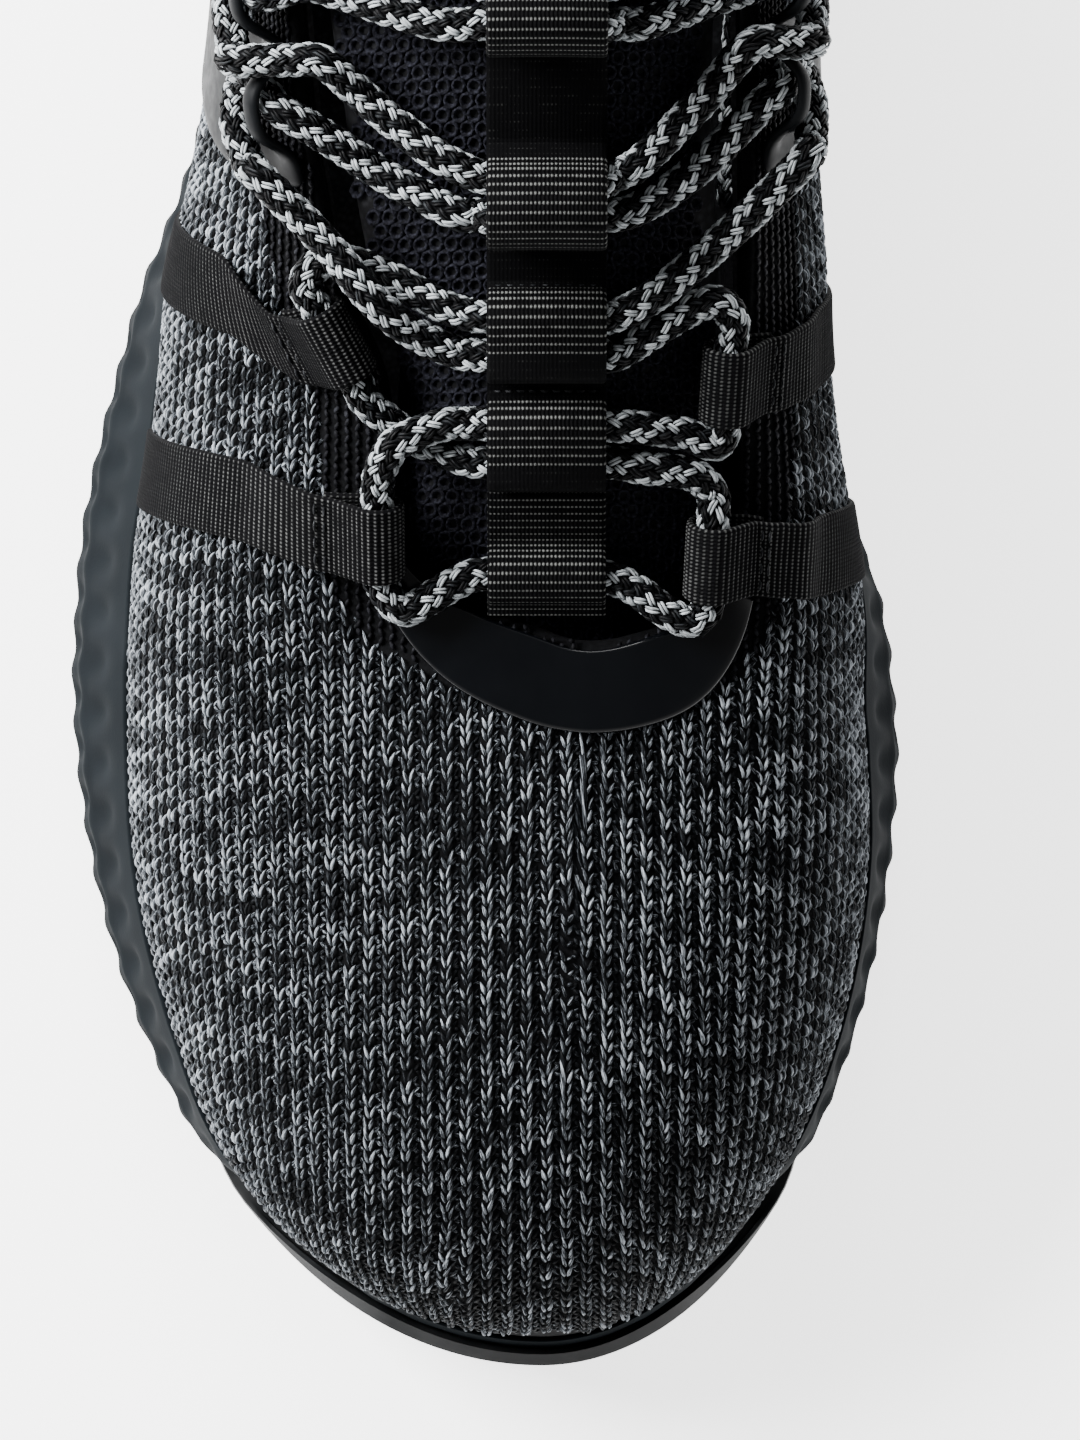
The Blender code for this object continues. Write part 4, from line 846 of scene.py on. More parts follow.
def yarn_pieces(name, centres, normals, widths, heights, taper, tones, finish, most, sides=5,
                body="shoe", stands_for=()):
    """Yarns as pieces of at most the given count each. Their paint is (tone, along, around, chance)."""
    made = []
    chance = np.random.default_rng(11).random(len(centres))
    for number, start in enumerate(range(0, len(centres), most)):
        part = slice(start, start + most)
        points, quads, triangles, length_share, turn_share = spindles(
            centres[part], normals[part], widths[part], heights[part], taper, sides)
        mesh, used = array_mesh(f"{name}_{number + 1}", points, quads, triangles)
        each = len(length_share)
        count = len(points) // each
        values = np.stack([np.repeat(tones[part], each), np.tile(length_share, count),
                           np.tile(turn_share, count), np.repeat(chance[part], each)], axis=-1)
        paint(mesh, "Yarn", values[used])
        stands = stands_for if number == 0 else ()
        made.append(piece(f"{name}_{number + 1}", mesh, finish, body, stands))
    return made


# Materials.


def shader(name, colour, roughness, **sockets):
    made = bpy.data.materials.new(name)
    made.use_nodes = True
    tree = made.node_tree
    bsdf = tree.nodes["Principled BSDF"]
    bsdf.inputs["Base Color"].default_value = (*colour, 1)
    bsdf.inputs["Roughness"].default_value = roughness
    for socket, value in sockets.items():
        bsdf.inputs[socket.replace("_", " ")].default_value = value
    return made, tree, bsdf


def node(tree, kind, settings=None, **inputs):
    made = tree.nodes.new(kind)
    for key, value in (settings or {}).items():
        setattr(made, key, value)
    for key, value in inputs.items():
        numbered = key[0] == "i" and key[1:].isdigit()
        socket = made.inputs[int(key[1:]) if numbered else key.replace("_", " ")]
        if isinstance(value, bpy.types.NodeSocket):
            tree.links.new(value, socket)
        else:
            socket.default_value = value
    return made


def maths(tree, operation, a, b=0.0, c=0.0):
    return node(tree, "ShaderNodeMath", {"operation": operation}, i0=a, i1=b, i2=c).outputs[0]


def noise_of(tree, scale, detail=3.0, vector=None, roughness=0.55):
    if vector is None:
        vector = node(tree, "ShaderNodeTexCoord").outputs["Object"]
    return node(tree, "ShaderNodeTexNoise", None, Vector=vector, Scale=scale, Detail=detail,
                Roughness=roughness).outputs["Fac"]


def ramp_of(tree, factor, stops):
    made = node(tree, "ShaderNodeValToRGB", None, Fac=factor)
    ramp_stops = made.color_ramp.elements
    while len(ramp_stops) < len(stops):
        ramp_stops.new(0.5)
    for element, (position, colour) in zip(ramp_stops, stops):
        element.position = position
        element.color = (*colour, 1)
    return made.outputs["Color"]


def bump(tree, bsdf, height, strength, distance):
    made = node(tree, "ShaderNodeBump", None, Height=height, Strength=strength, Distance=distance * MM)
    tree.links.new(made.outputs["Normal"], bsdf.inputs["Normal"])


def paint_of(tree, name):
    found = node(tree, "ShaderNodeVertexColor", {"layer_name": name})
    parts = node(tree, "ShaderNodeSeparateColor", None, Color=found.outputs["Color"])
    return parts.outputs[0], parts.outputs[1], parts.outputs[2], found.outputs["Alpha"]


def yarn_material(name, dark, middle, light, streaks, roughness, reach=1.6):
    """Spun yarn: fibres run along it, some of them lighter, partly the yarn's own light fibres and partly
    painted highlight streaks.
    """
    made, tree, bsdf = shader(name, middle, roughness, Specular_IOR_Level=0.08)
    tone, share, turn, chance = paint_of(tree, "Yarn")
    vector = node(tree, "ShaderNodeCombineXYZ", None, X=maths(tree, "MULTIPLY", share, 1.6),
                  Y=maths(tree, "MULTIPLY_ADD", share, 1.2, maths(tree, "MULTIPLY", turn, streaks)),
                  Z=maths(tree, "MULTIPLY", chance, 40.0)).outputs[0]
    # Streaks along each yarn: its light fibres, partly painted highlight lines.
    fibre_and_highlight = noise_of(tree, 1.0, 3.0, vector, 0.7)
    mixed = maths(tree, "ADD", tone, maths(tree, "MULTIPLY", maths(tree, "SUBTRACT", fibre_and_highlight, 0.5), reach))
    colour = ramp_of(tree, mixed, ((0.0, dark), (0.45, middle), (1.0, light)))
    tree.links.new(colour, bsdf.inputs["Base Color"])
    bump(tree, bsdf, fibre_and_highlight, 0.6, 0.15)
    return made


def foam_material():
    made, tree, bsdf = shader("moulded_foam", (0.006, 0.0075, 0.009), 0.6, Specular_IOR_Level=0.012)
    skin = noise_of(tree, 2600.0, 2.0)
    cloud = noise_of(tree, 90.0, 4.0)
    colour = ramp_of(tree, cloud, ((0.3, (0.0040, 0.0052, 0.0062)), (0.7, (0.0068, 0.0084, 0.0098))))
    tree.links.new(colour, bsdf.inputs["Base Color"])
    tree.links.new(ramp_of(tree, cloud, ((0.2, (0.55,) * 3), (0.8, (0.72,) * 3))), bsdf.inputs["Roughness"])
    bump(tree, bsdf, skin, 0.25, 0.12)
    return made


def rubber_material():
    made, tree, bsdf = shader("outsole_rubber", (0.004, 0.0045, 0.005), 0.35, Specular_IOR_Level=0.35)
    grain = noise_of(tree, 1500.0, 2.0)
    scuffs = noise_of(tree, 140.0, 6.0)
    colour = ramp_of(tree, scuffs, ((0.35, (0.0035, 0.004, 0.0045)), (0.75, (0.008, 0.0085, 0.009))))
    tree.links.new(colour, bsdf.inputs["Base Color"])
    tree.links.new(ramp_of(tree, scuffs, ((0.3, (0.28,) * 3), (0.7, (0.5,) * 3))), bsdf.inputs["Roughness"])
    bump(tree, bsdf, grain, 0.15, 0.1)
    return made


def plastic_material(name, low, high, roughness, coat, gloss=0.3):
    made, tree, bsdf = shader(name, low, roughness, Specular_IOR_Level=gloss, Coat_Weight=coat,
                              Coat_Roughness=0.08)
    cloud = noise_of(tree, 60.0, 3.0)
    tree.links.new(ramp_of(tree, cloud, ((0.3, low), (0.7, high))), bsdf.inputs["Base Color"])
    smears = noise_of(tree, 400.0, 4.0)
    spread = ramp_of(tree, smears, ((0.3, (roughness * 0.85,) * 3), (0.7, (roughness * 1.2,) * 3)))
    tree.links.new(spread, bsdf.inputs["Roughness"])
    bump(tree, bsdf, noise_of(tree, 900.0, 2.0), 0.05, 0.05)
    return made


def fabric_material(name, low, high, scale):
    """Fine knitted lining: small loops in rows, with painted shade towards each loop's border where the bump
    sinks.
    """
    made, tree, bsdf = shader(name, low, 0.9, Specular_IOR_Level=0.15)
    where = node(tree, "ShaderNodeTexCoord").outputs["Object"]
    cells = node(tree, "ShaderNodeTexVoronoi", {"feature": "F1"}, Vector=where, Scale=scale)
    cells = cells.outputs["Distance"]
    cloud = noise_of(tree, 240.0, 4.0)
    # Painted shade: darker towards each cell's border, where the bump sinks between the loops.
    shade = maths(tree, "MULTIPLY_ADD", cells, -0.8, cloud)
    tree.links.new(ramp_of(tree, shade, ((0.0, low), (0.6, high))), bsdf.inputs["Base Color"])
    bump(tree, bsdf, cells, -0.6, 0.3)
    return made


def mesh_material():
    """The tongue's spacer mesh: its yarns are fuzzy and near black, and its holes are painted darker, down to
    black at their bottoms, as painted shade.
    """
    made, tree, bsdf = shader("tongue_spacer_mesh", (0.004, 0.004, 0.006), 0.8, Specular_IOR_Level=0.06)
    # Painted shade: this paint darkens the colour down into each hole, to black at its bottom.
    depth, _, _, _ = paint_of(tree, "PaintedHoleShade")
    threads = noise_of(tree, 2200.0, 3.0)
    shade = maths(tree, "MULTIPLY", maths(tree, "SUBTRACT", threads, 0.35), depth)
    stops = (0.0, (0.0012, 0.0012, 0.002)), (0.12, (0.0035, 0.0035, 0.0055)), (0.45, (0.022, 0.023, 0.032))
    colour = ramp_of(tree, shade, stops)
    tree.links.new(colour, bsdf.inputs["Base Color"])
    bump(tree, bsdf, threads, 0.7, 0.3)
    return made


def webbing_material(name, dark, thread, dots, sharp):
    """Grosgrain: ribs across the strap, each rib's crest carrying a row of light points as painted highlight.
    """
    made, tree, bsdf = shader(name, dark, 0.85, Specular_IOR_Level=0.04)
    rib, across, ribbed, _ = paint_of(tree, "Weave")
    wave = maths(tree, "SINE", maths(tree, "MULTIPLY", across, 2 * math.pi / 0.55))
    crest = maths(tree, "SINE", maths(tree, "MULTIPLY", rib, 2 * math.pi))
    crest = maths(tree, "POWER", maths(tree, "MULTIPLY_ADD", crest, 0.5, 0.5), sharp)
    # Painted highlight: light points where the rib crests face up into the light; thread is their colour,
    # dark the strap's own.
    crest_highlight = maths(tree, "MULTIPLY", maths(tree, "MULTIPLY_ADD", wave, 0.5, 0.5), crest)
    worn = noise_of(tree, 500.0, 3.0)
    crest_highlight = maths(tree, "MULTIPLY", maths(tree, "MULTIPLY", crest_highlight, ribbed), maths(tree, "MULTIPLY", worn, dots))
    shade = maths(tree, "ADD", crest_highlight, maths(tree, "MULTIPLY", maths(tree, "SUBTRACT", worn, 0.5), 0.12))
    tree.links.new(ramp_of(tree, shade, ((0.08, dark), (0.75, thread))), bsdf.inputs["Base Color"])
    weave = maths(tree, "MULTIPLY", wave, maths(tree, "MULTIPLY_ADD", ribbed, 0.8, 0.2))
    bump(tree, bsdf, weave, 0.5, 0.12)
    return made


def base_material(name, low, high):
    """What lies behind the stitches."""
    made, tree, bsdf = shader(name, low, 0.95, Specular_IOR_Level=0.1)
    shade = noise_of(tree, 1600.0, 3.0)
    tree.links.new(ramp_of(tree, shade, ((0.4, low), (0.8, high))), bsdf.inputs["Base Color"])
    bump(tree, bsdf, noise_of(tree, 1200.0, 3.0), 0.5, 0.3)
    return made


FINISHES = {
    "knit": yarn_material("heathered_yarn", (0.0008, 0.0010, 0.0014), (0.010, 0.012, 0.0148),
                          (0.29, 0.315, 0.345), 9.0, 0.6, 3.4),
    "band": yarn_material("black_yarn", (0.0010, 0.0010, 0.0016), (0.0036, 0.0036, 0.005),
                          (0.02, 0.021, 0.026), 3.0, 0.7),
    "lace": yarn_material("lace_yarn", (0.0008, 0.0008, 0.0011), (0.022, 0.025, 0.028),
                          (0.37, 0.395, 0.41), 3.0, 0.5),
    "thread": yarn_material("sewing_thread", (0.002, 0.002, 0.003), (0.006, 0.0065, 0.0075),
                            (0.06, 0.062, 0.066), 3.0, 0.5),
    "knit_base": base_material("knit_backing", (0.0008, 0.0008, 0.0011), (0.003, 0.0033, 0.004)),
    "foam": foam_material(),
    "rubber": rubber_material(),
    "gloss": plastic_material("gloss_overlay", (0.0008, 0.0010, 0.0015), (0.0013, 0.0016, 0.0022),
                              0.15, 0.0, 0.36),
    "cage": plastic_material("cage_moulding", (0.0026, 0.003, 0.0036), (0.0042, 0.0047, 0.0054),
                             0.5, 0.0, 0.06),
    "mesh": mesh_material(),
    "webbing": webbing_material("grosgrain", (0.0010, 0.0010, 0.0013), (0.055, 0.056, 0.055), 1.6, 2.6),
    "keeper": webbing_material("keeper_grosgrain", (0.0005, 0.0005, 0.0007), (0.10, 0.102, 0.098), 2.0, 5.0),
    "lining": fabric_material("lining_knit", (0.002, 0.002, 0.0026), (0.011, 0.0115, 0.0135), 900.0),
    "insole": fabric_material("sockliner_cloth", (0.004, 0.0042, 0.005), (0.02, 0.021, 0.024), 1100.0),
    "board": fabric_material("strobel_felt", (0.4, 0.4, 0.38), (0.6, 0.6, 0.56), 1300.0),
    "stiffener": plastic_material("thermoplastic_sheet", (0.25, 0.25, 0.24), (0.34, 0.34, 0.33), 0.6, 0.0),
    "tape": fabric_material("woven_tape", (0.01, 0.01, 0.011), (0.03, 0.03, 0.032), 1200.0),
    "soft_foam": fabric_material("collar_foam", (0.03, 0.03, 0.03), (0.09, 0.09, 0.088), 700.0),
    "aglet": plastic_material("aglet_film", (0.006, 0.006, 0.007), (0.012, 0.012, 0.013), 0.22, 0.3),
}


# The upper: its smooth surface, the same surface laid flat, and the stitches knitted over it.

ANGLES = np.linspace(-math.pi, math.pi, 361)
RISES = np.linspace(-0.12, 1.0, 64)
UPPER = Patch(lambda angle, rise: upper_point(angle % (2 * math.pi), rise), ANGLES, RISES)
steps = np.linalg.norm(np.diff(UPPER.points, axis=1), axis=-1)
TO_EDGE = np.cumsum(steps[:, ::-1], axis=1)[:, ::-1]
TO_EDGE = np.concatenate([TO_EDGE, np.zeros((len(ANGLES), 1))], axis=1)[..., None]


LINES = np.arange(-10, 150.1, 2.5)


def sections(side):
    """The upper of one side cut across at many stations.

    Returns the stations, the distance across at each station and rise, and the point at each station and
    each of LINES. Across is measured over the shoe from its middle, positive towards the given side.
    """
    half = len(ANGLES) // 2
    rows = UPPER.points[half:] if side == LATERAL else UPPER.points[half::-1]
    ridge = rows[0]
    ridge_at = np.maximum.accumulate(ridge[:, 1]) + 1e-6 * np.arange(len(RISES))
    middle = np.maximum.accumulate(rows[:, len(RISES) // 2, 1])
    front = np.concatenate([[0, 0.3, 0.7, 1.2, 1.8, 2.5, 3.5, 5, 7, 9, 12, 15], np.arange(18, 262, 1.5)])
    stations = np.unique(np.concatenate([front, middle[middle > 262]]))
    stations = stations[stations >= ridge_at[0]]
    lines = np.maximum.accumulate(rows[..., 1], axis=0) + 1e-6 * np.arange(len(rows))[:, None]
    across, spread = [], []
    for at in stations:
        reached = np.nonzero(lines[0] <= at)[0][::-1]
        section = [[np.interp(at, lines[:, k], rows[:, k, axis]) for axis in range(3)] for k in reached]
        rises = list(RISES[reached])
        if at < ridge_at[-1]:
            section.insert(0, [np.interp(at, ridge_at, ridge[:, axis]) for axis in range(3)])
            rises.insert(0, np.interp(at, ridge_at, RISES) + 1e-6)
        section = np.array(section)
        walked = np.concatenate([[0], np.cumsum(np.linalg.norm(np.diff(section, axis=0), axis=-1) + 1e-9)])
        away = side * (section[0, 0] - CENTRE_X) + walked
        across.append(np.interp(RISES, rises[::-1], away[::-1]))
        spread.append(np.stack([np.interp(LINES, away, section[:, axis]) for axis in range(3)], axis=-1))
    return stations, np.array(across), np.array(spread)


def laid_flat():
    """The upper flattened, as (across, along, 0) in millimetres at each of its samples.

    Across is measured over the shoe at one station, and along from there on at the same distance across, so
    that columns of stitches run the length of the shoe.
    """
    flat = np.zeros(UPPER.points.shape)
    half = len(ANGLES) // 2
    for side, chosen in ((LATERAL, slice(half, None)), (MEDIAL, slice(0, half))):
        stations, across, spread = sections(side)
        travelled = np.linalg.norm(np.diff(spread, axis=0), axis=-1)
        travelled = np.concatenate([np.zeros((1, len(LINES))), np.cumsum(travelled, axis=0)])
        travelled -= travelled[np.argmin(np.abs(stations - 112))]
        samples = UPPER.points[chosen]
        at_row = np.interp(samples[..., 1], stations, np.arange(len(stations)))
        k0 = np.minimum(at_row.astype(int), len(stations) - 2)
        s = at_row - k0
        column = np.broadcast_to(np.arange(len(RISES)), k0.shape)
        distance = across[k0, column] * (1 - s) + across[k0 + 1, column] * s
        straight = samples[..., 0] - CENTRE_X
        near = np.clip((17 - np.abs(straight)) / 7, 0, 1) * (samples[..., 1] < 99.5)
        distance = near * side * straight + (1 - near) * distance
        at_line = np.interp(distance, LINES, np.arange(len(LINES)))
        m0 = np.minimum(at_line.astype(int), len(LINES) - 2)
        t = at_line - m0
        low = travelled[k0, m0] * (1 - t) + travelled[k0, m0 + 1] * t
        high = travelled[k0 + 1, m0] * (1 - t) + travelled[k0 + 1, m0 + 1] * t
        flat[chosen] = np.stack([side * distance, low * (1 - s) + high * s, np.zeros_like(low)], axis=-1)
    return flat


class Flat:
    """Finds where on the upper a point of the flat pattern lies."""

    def __init__(self):
        self.flat = laid_flat()
        grid = np.arange(361 * 64).reshape(361, 64)
        quads = np.stack([grid[:-1, :-1], grid[1:, :-1], grid[1:, 1:], grid[:-1, 1:]], axis=-1).reshape(-1, 4)
        self.faces = np.concatenate([quads[:, [0, 1, 2]], quads[:, [0, 2, 3]]])
        a, r = np.meshgrid(ANGLES, RISES, indexing="ij")
        self.params = np.stack([a, r, np.zeros_like(a)], axis=-1).reshape(-1, 3)
        self.points = self.flat.reshape(-1, 3)
        self.tree = BVHTree.FromPolygons(self.points.tolist(), self.faces.tolist())

    def find(self, flat_points):
        """(angle, rise) of each point, and whether it is on the pattern."""
        found = np.zeros((len(flat_points), 2))
        inside = np.zeros(len(flat_points), bool)
        for n, (u, v) in enumerate(flat_points):
            place, _, index, distance = self.tree.find_nearest((u, v, 0.0))
            if index is None or distance > 0.02:
                continue
            corners = self.faces[index]
            real = geometry.barycentric_transform(
                place, *[Vector(self.points[k]) for k in corners], *[Vector(self.params[k]) for k in corners])
            if math.isfinite(real[0]) and math.isfinite(real[1]):
                found[n] = real[0], real[1]
                inside[n] = True
        return found, inside


FLAT = Flat()
RIB, COURSE = 2.7, 1.72
BAND = 11.0


def smooth_chance(generator, shape, spread):
    """Random values that change slowly from one column to the next, from 0 to 1."""
    values = generator.random(shape)
    kernel = np.exp(-np.linspace(-2, 2, spread) ** 2)
    kernel /= kernel.sum()
    values = np.apply_along_axis(lambda row: np.convolve(row, kernel, "same"), 1, values)
    order = values.argsort(axis=None).argsort()
    return (order / order.size).reshape(shape)


def stitch_grid(pitch_across, pitch_along):
    low, high = FLAT.flat[..., :2].min(axis=(0, 1)), FLAT.flat[..., :2].max(axis=(0, 1))
    columns = np.arange(math.floor(low[0] / pitch_across), math.ceil(high[0] / pitch_across) + 1)
    rows = np.arange(math.floor(low[1] / pitch_along), math.ceil(high[1] / pitch_along) + 1)
    return np.meshgrid(columns, rows)


def yarn_rows(starts, ends, lifts, bows, rings):
    """Centres and normals of yarns between (angle, rise) pairs, arched over the surface."""
    first, first_normal = UPPER.at(starts[:, 0], starts[:, 1])
    last, last_normal = UPPER.at(ends[:, 0], ends[:, 1])
    share = np.linspace(0, 1, rings)[None, :, None]
    normals = unit(first_normal[:, None] * (1 - share) + last_normal[:, None] * share)
    centres = first[:, None] * (1 - share) + last[:, None] * share
    aside = unit(np.cross(normals, (last - first)[:, None]))
    arch = np.sin(np.pi * share) ** 0.8
    centres = centres + normals * (lifts[0] + (lifts[1] - lifts[0]) * arch)
    return centres + aside * bows[:, None, None] * arch, normals


def knit_tones_with_painted_light(chance, points):
    """How light the yarn is: its heather tone plus painted light, lighter along the outer side, which faces
    the key lamp, and painted shade over the toe and the inner side, which face away from it.
    """
    x, at = points[:, 0], points[:, 1]
    # Painted light: the outer side and its quarter are lightened; the toe is darkened as painted shade.
    outer = 1 / (1 + np.exp((x + 22) / 9))
    toe = 1 / (1 + np.exp((at - 26) / 10))
    quarter = 1 / (1 + np.exp(-(at - 125) / 12))
    return chance + 0.02 + 0.03 * outer - 0.08 * toe + 0.06 * outer * quarter


def knit_stitches():
    """The ribbed knit: each rib is a column of Vs that point to the toe, over a recess of bars painted darker
    as painted shade.
    """
    generator = np.random.default_rng(3)
    column, row = stitch_grid(RIB, COURSE)
    marl = smooth_chance(generator, column.shape, 5)
    patch = smooth_chance(generator, column.shape, 21)
    chance = 0.4 * marl + 0.22 * patch + 0.35 * generator.random(column.shape) - 0.04
    u = (column + 0.12 * (generator.random(column.shape) - 0.5)) * RIB
    v = (row + 0.5 * (column % 2) + 0.2 * (generator.random(column.shape) - 0.5)) * COURSE
    low = np.stack([u, v], axis=-1).reshape(-1, 2)
    chance = chance.ravel()
    count = len(low)
    centres, normals, widths, heights, tones = [], [], [], [], []

    def add(start, end, lifts, width, height, tone, bow):
        first, in_first = FLAT.find(start)
        last, in_last = FLAT.find(end)
        good = in_first & in_last
        first, last = first[good], last[good]
        place, _ = UPPER.at(first[:, 0], first[:, 1])
        far_in = np.minimum(UPPER.read(TO_EDGE, first[:, 0], first[:, 1]),
                            UPPER.read(TO_EDGE, last[:, 0], last[:, 1]))[:, 0]
        keep = (far_in > BAND - 1.0) & (first[:, 1] > -0.02) & (last[:, 1] > -0.02)
        made, made_normals = yarn_rows(first[keep], last[keep], lifts, bow[good][keep], 6)
        centres.append(made)
        normals.append(made_normals)
        size = generator.normal(1.0, 0.12, keep.sum()).clip(0.7, 1.35)
        widths.append(width * size)
        heights.append(height * size)
        tones.append(knit_tones_with_painted_light(tone[good][keep], place[keep]))

    for side in (-1, 1):
        wobble = 0.14 * (generator.random((count, 2)) - 0.5)
        start = low + wobble + (side * 0.16, -0.2)
        end = low + wobble[:, ::-1] + (side * 0.85, 2.15)
        tone = chance + 0.12 * (generator.random(count) - 0.5)
        add(start, end, (0.05, 0.7), 0.54, 0.6, tone, side * 0.12 * np.ones(count))
    # The recessed bars: the same yarn with its tone lowered by 0.28, painted shade in the recess between the
    # ribs.
    for side in (-1, 1):
        start = low + (RIB / 2 - side * 0.62, 0.9 + 0.3 * side) + 0.3 * (generator.random((count, 2)) - 0.5)
        end = start + (side * 1.0, 1.0)
        add(start, end, (-0.1, 0.12), 0.62, 0.5, chance - 0.28, 0.1 * np.ones(count))
    centres, normals = np.concatenate(centres), np.concatenate(normals)
    widths, heights, tones = np.concatenate(widths), np.concatenate(heights), np.concatenate(tones)
    order = np.argsort(centres[:, 0, 1], kind="stable")
    yarn_pieces("knit_stitches", centres[order], normals[order], widths[order], heights[order],
                (0, 0.72, 1.0, 0.95, 0.66, 0), tones[order], FINISHES["knit"], 4800, 5)


def band_stitches():
    """The fine black knit along the throat and round the collar."""
    generator = np.random.default_rng(5)
    across, along_it = 1.5, 1.15
    column, row = stitch_grid(across, along_it)
    low = np.stack([column * across, (row + 0.5 * (column % 2)) * along_it], axis=-1).reshape(-1, 2)
    side = np.where((column + row).ravel() % 2 == 0, 1.0, -1.0)
    slant = np.stack([side * 0.62, np.full(len(low), 1.35)], axis=-1)
    first, in_first = FLAT.find(low - slant / 2)
    last, in_last = FLAT.find(low + slant / 2)
    good = in_first & in_last
    first, last = first[good], last[good]
    far_in = UPPER.read(TO_EDGE, first[:, 0], first[:, 1])[:, 0]
    keep = far_in < BAND + 0.6
    first, last = first[keep], last[keep]
    centres, normals = yarn_rows(first, last, (0.0, 0.36), np.zeros(len(first)), 5)
    sizes = generator.normal(1, 0.1, len(first)).clip(0.75, 1.3)
    tones = 0.35 + 0.5 * (generator.random(len(first)) - 0.5)
    yarn_pieces("band_stitches", centres, normals, 0.74 * sizes, 0.52 * sizes, (0, 0.8, 1, 0.8, 0), tones,
                FINISHES["band"], 6000, 4)


def upper_shell():
    """The cloth behind the stitches."""
    def place(r, c, lift):
        return UPPER.at(c * 2 * math.pi - math.pi, -0.1 + 1.1 * r, lift)[0]

    mesh = pillow("upper_shell", place, 80.0, 1.0, lambda r, c: -UPPER_THICKNESS + 0.0 * r,
                  lambda r, c: 0.02 + 0.0 * r, 1.1, (56, 300), wraps=True)
    piece("upper_shell", mesh, FINISHES["knit_base"], "shoe", ["upper_knit"])


# The sole.


def smooth_rows(rows, count):
    """More rows on a smooth curve through the given ones."""
    rows = np.asarray(rows, float)
    knots = np.concatenate([2 * rows[:1] - rows[1:2], rows, 2 * rows[-1:] - rows[-2:-1]])
    made = []
    for k in range(len(rows) - 1):
        before, start, end, after = knots[k:k + 4]
        for s in np.linspace(0, 1, count + 1)[:-1]:
            square = (2 * before - 5 * start + 4 * end - after) * s * s
            cube = (3 * start - 3 * end + after - before) * s**3
            made.append(0.5 * (2 * start + (end - before) * s + square + cube))
    return np.array(made + [rows[-1]])


def midsole():
    """The moulded midsole, with two rows of soft dimples along its wall and a rippled edge."""
    def set_back(angle):
        return hug_share(angle, 34) * (BUMPER_THICKNESS + GAP)

    def wall(share):
        return lambda at: midsole_underside(at) + share * (bite_height(at) - midsole_underside(at))

    def wall_inset(share):
        return lambda angle: max(set_back(angle), share * (feather_inset(angle) - 1.4))

    count = 1080
    angles = np.linspace(0, 2 * math.pi, count, endpoint=False)

    def ring(inset, height):
        return np.array([edge(angle, inset(angle), height) for angle in angles])

    cup = [ring(lambda a: feather_inset(a) + 2, bed_height),
           ring(lambda a: feather_inset(a) - GAP, lambda at: bed_height(at) + 0.2),
           ring(lambda a: feather_inset(a) - GAP, lambda at: bite_height(at) - 0.4)]
    walls = [ring(lambda a: feather_inset(a) - 1.2 + 0.2 * set_back(a), bite_height),
             ring(wall_inset(0.62), wall(0.74)),
             ring(wall_inset(0.2), wall(0.42)),
             ring(wall_inset(0.0), wall(0.2)),
             ring(lambda a: set_back(a) + 1.6, wall(0.05)),
             ring(lambda a: set_back(a) + 4.5, midsole_underside)]
    walls = smooth_rows(walls, 9)
    rows = len(walls)
    walked = np.concatenate([[0], np.cumsum(np.linalg.norm(np.diff(walls[9], axis=0), axis=-1))])
    outwards = np.array([[*outward(angle), 0.15] for angle in angles])
    share = np.linspace(0, 1, rows)[:, None]
    side = np.array([1 - 0.8 * hug_share(angle, 40) for angle in angles])
    waves = 2 * np.pi * walked / 7.0
    upper_row = np.exp(-((share - 0.27) / 0.09) ** 2) * (0.5 + 0.5 * np.cos(waves))
    lower_row = np.exp(-((share - 0.52) / 0.09) ** 2) * (0.5 - 0.5 * np.cos(waves + 0.6))
    third_row = np.exp(-((share - 0.74) / 0.08) ** 2) * (0.5 + 0.5 * np.cos(waves + 1.2))
    ripple = np.exp(-((share - 0.6) / 0.2) ** 2) * np.cos(waves + 2.0)
    ridge = np.exp(-((share - 0.40 - 0.012 * np.cos(waves)) / 0.03) ** 2)
    depth = (-0.95 * upper_row - 0.95 * lower_row - 0.8 * third_row + 0.2 * ripple + 0.3 * ridge) * side[None]
    walls = walls + depth[..., None] * outwards[None]
    grid = np.concatenate([cup, walls])
    points = grid.reshape(-1, 3)
    index = np.arange(len(points)).reshape(len(grid), count)
    wrapped = np.concatenate([index, index[:, :1]], axis=1)
    quads = np.stack([wrapped[:-1, :-1], wrapped[:-1, 1:], wrapped[1:, 1:], wrapped[1:, :-1]], axis=-1)
    quads = quads.reshape(-1, 4)
    caps, corners = [], []
    for first in (0, (len(grid) - 1) * count):
        for face in cap_faces(first, count):
            (caps if len(face) == 4 else corners).append(face)
    mesh, _ = array_mesh("midsole_moulding", points, np.concatenate([quads, caps]), corners)
    work = bmesh.new()
    work.from_mesh(mesh)
    bmesh.ops.recalc_face_normals(work, faces=work.faces)
    work.to_mesh(mesh)
    work.free()
    piece("midsole_moulding", face_out(mesh), FINISHES["foam"], "shoe", ["midsole"])


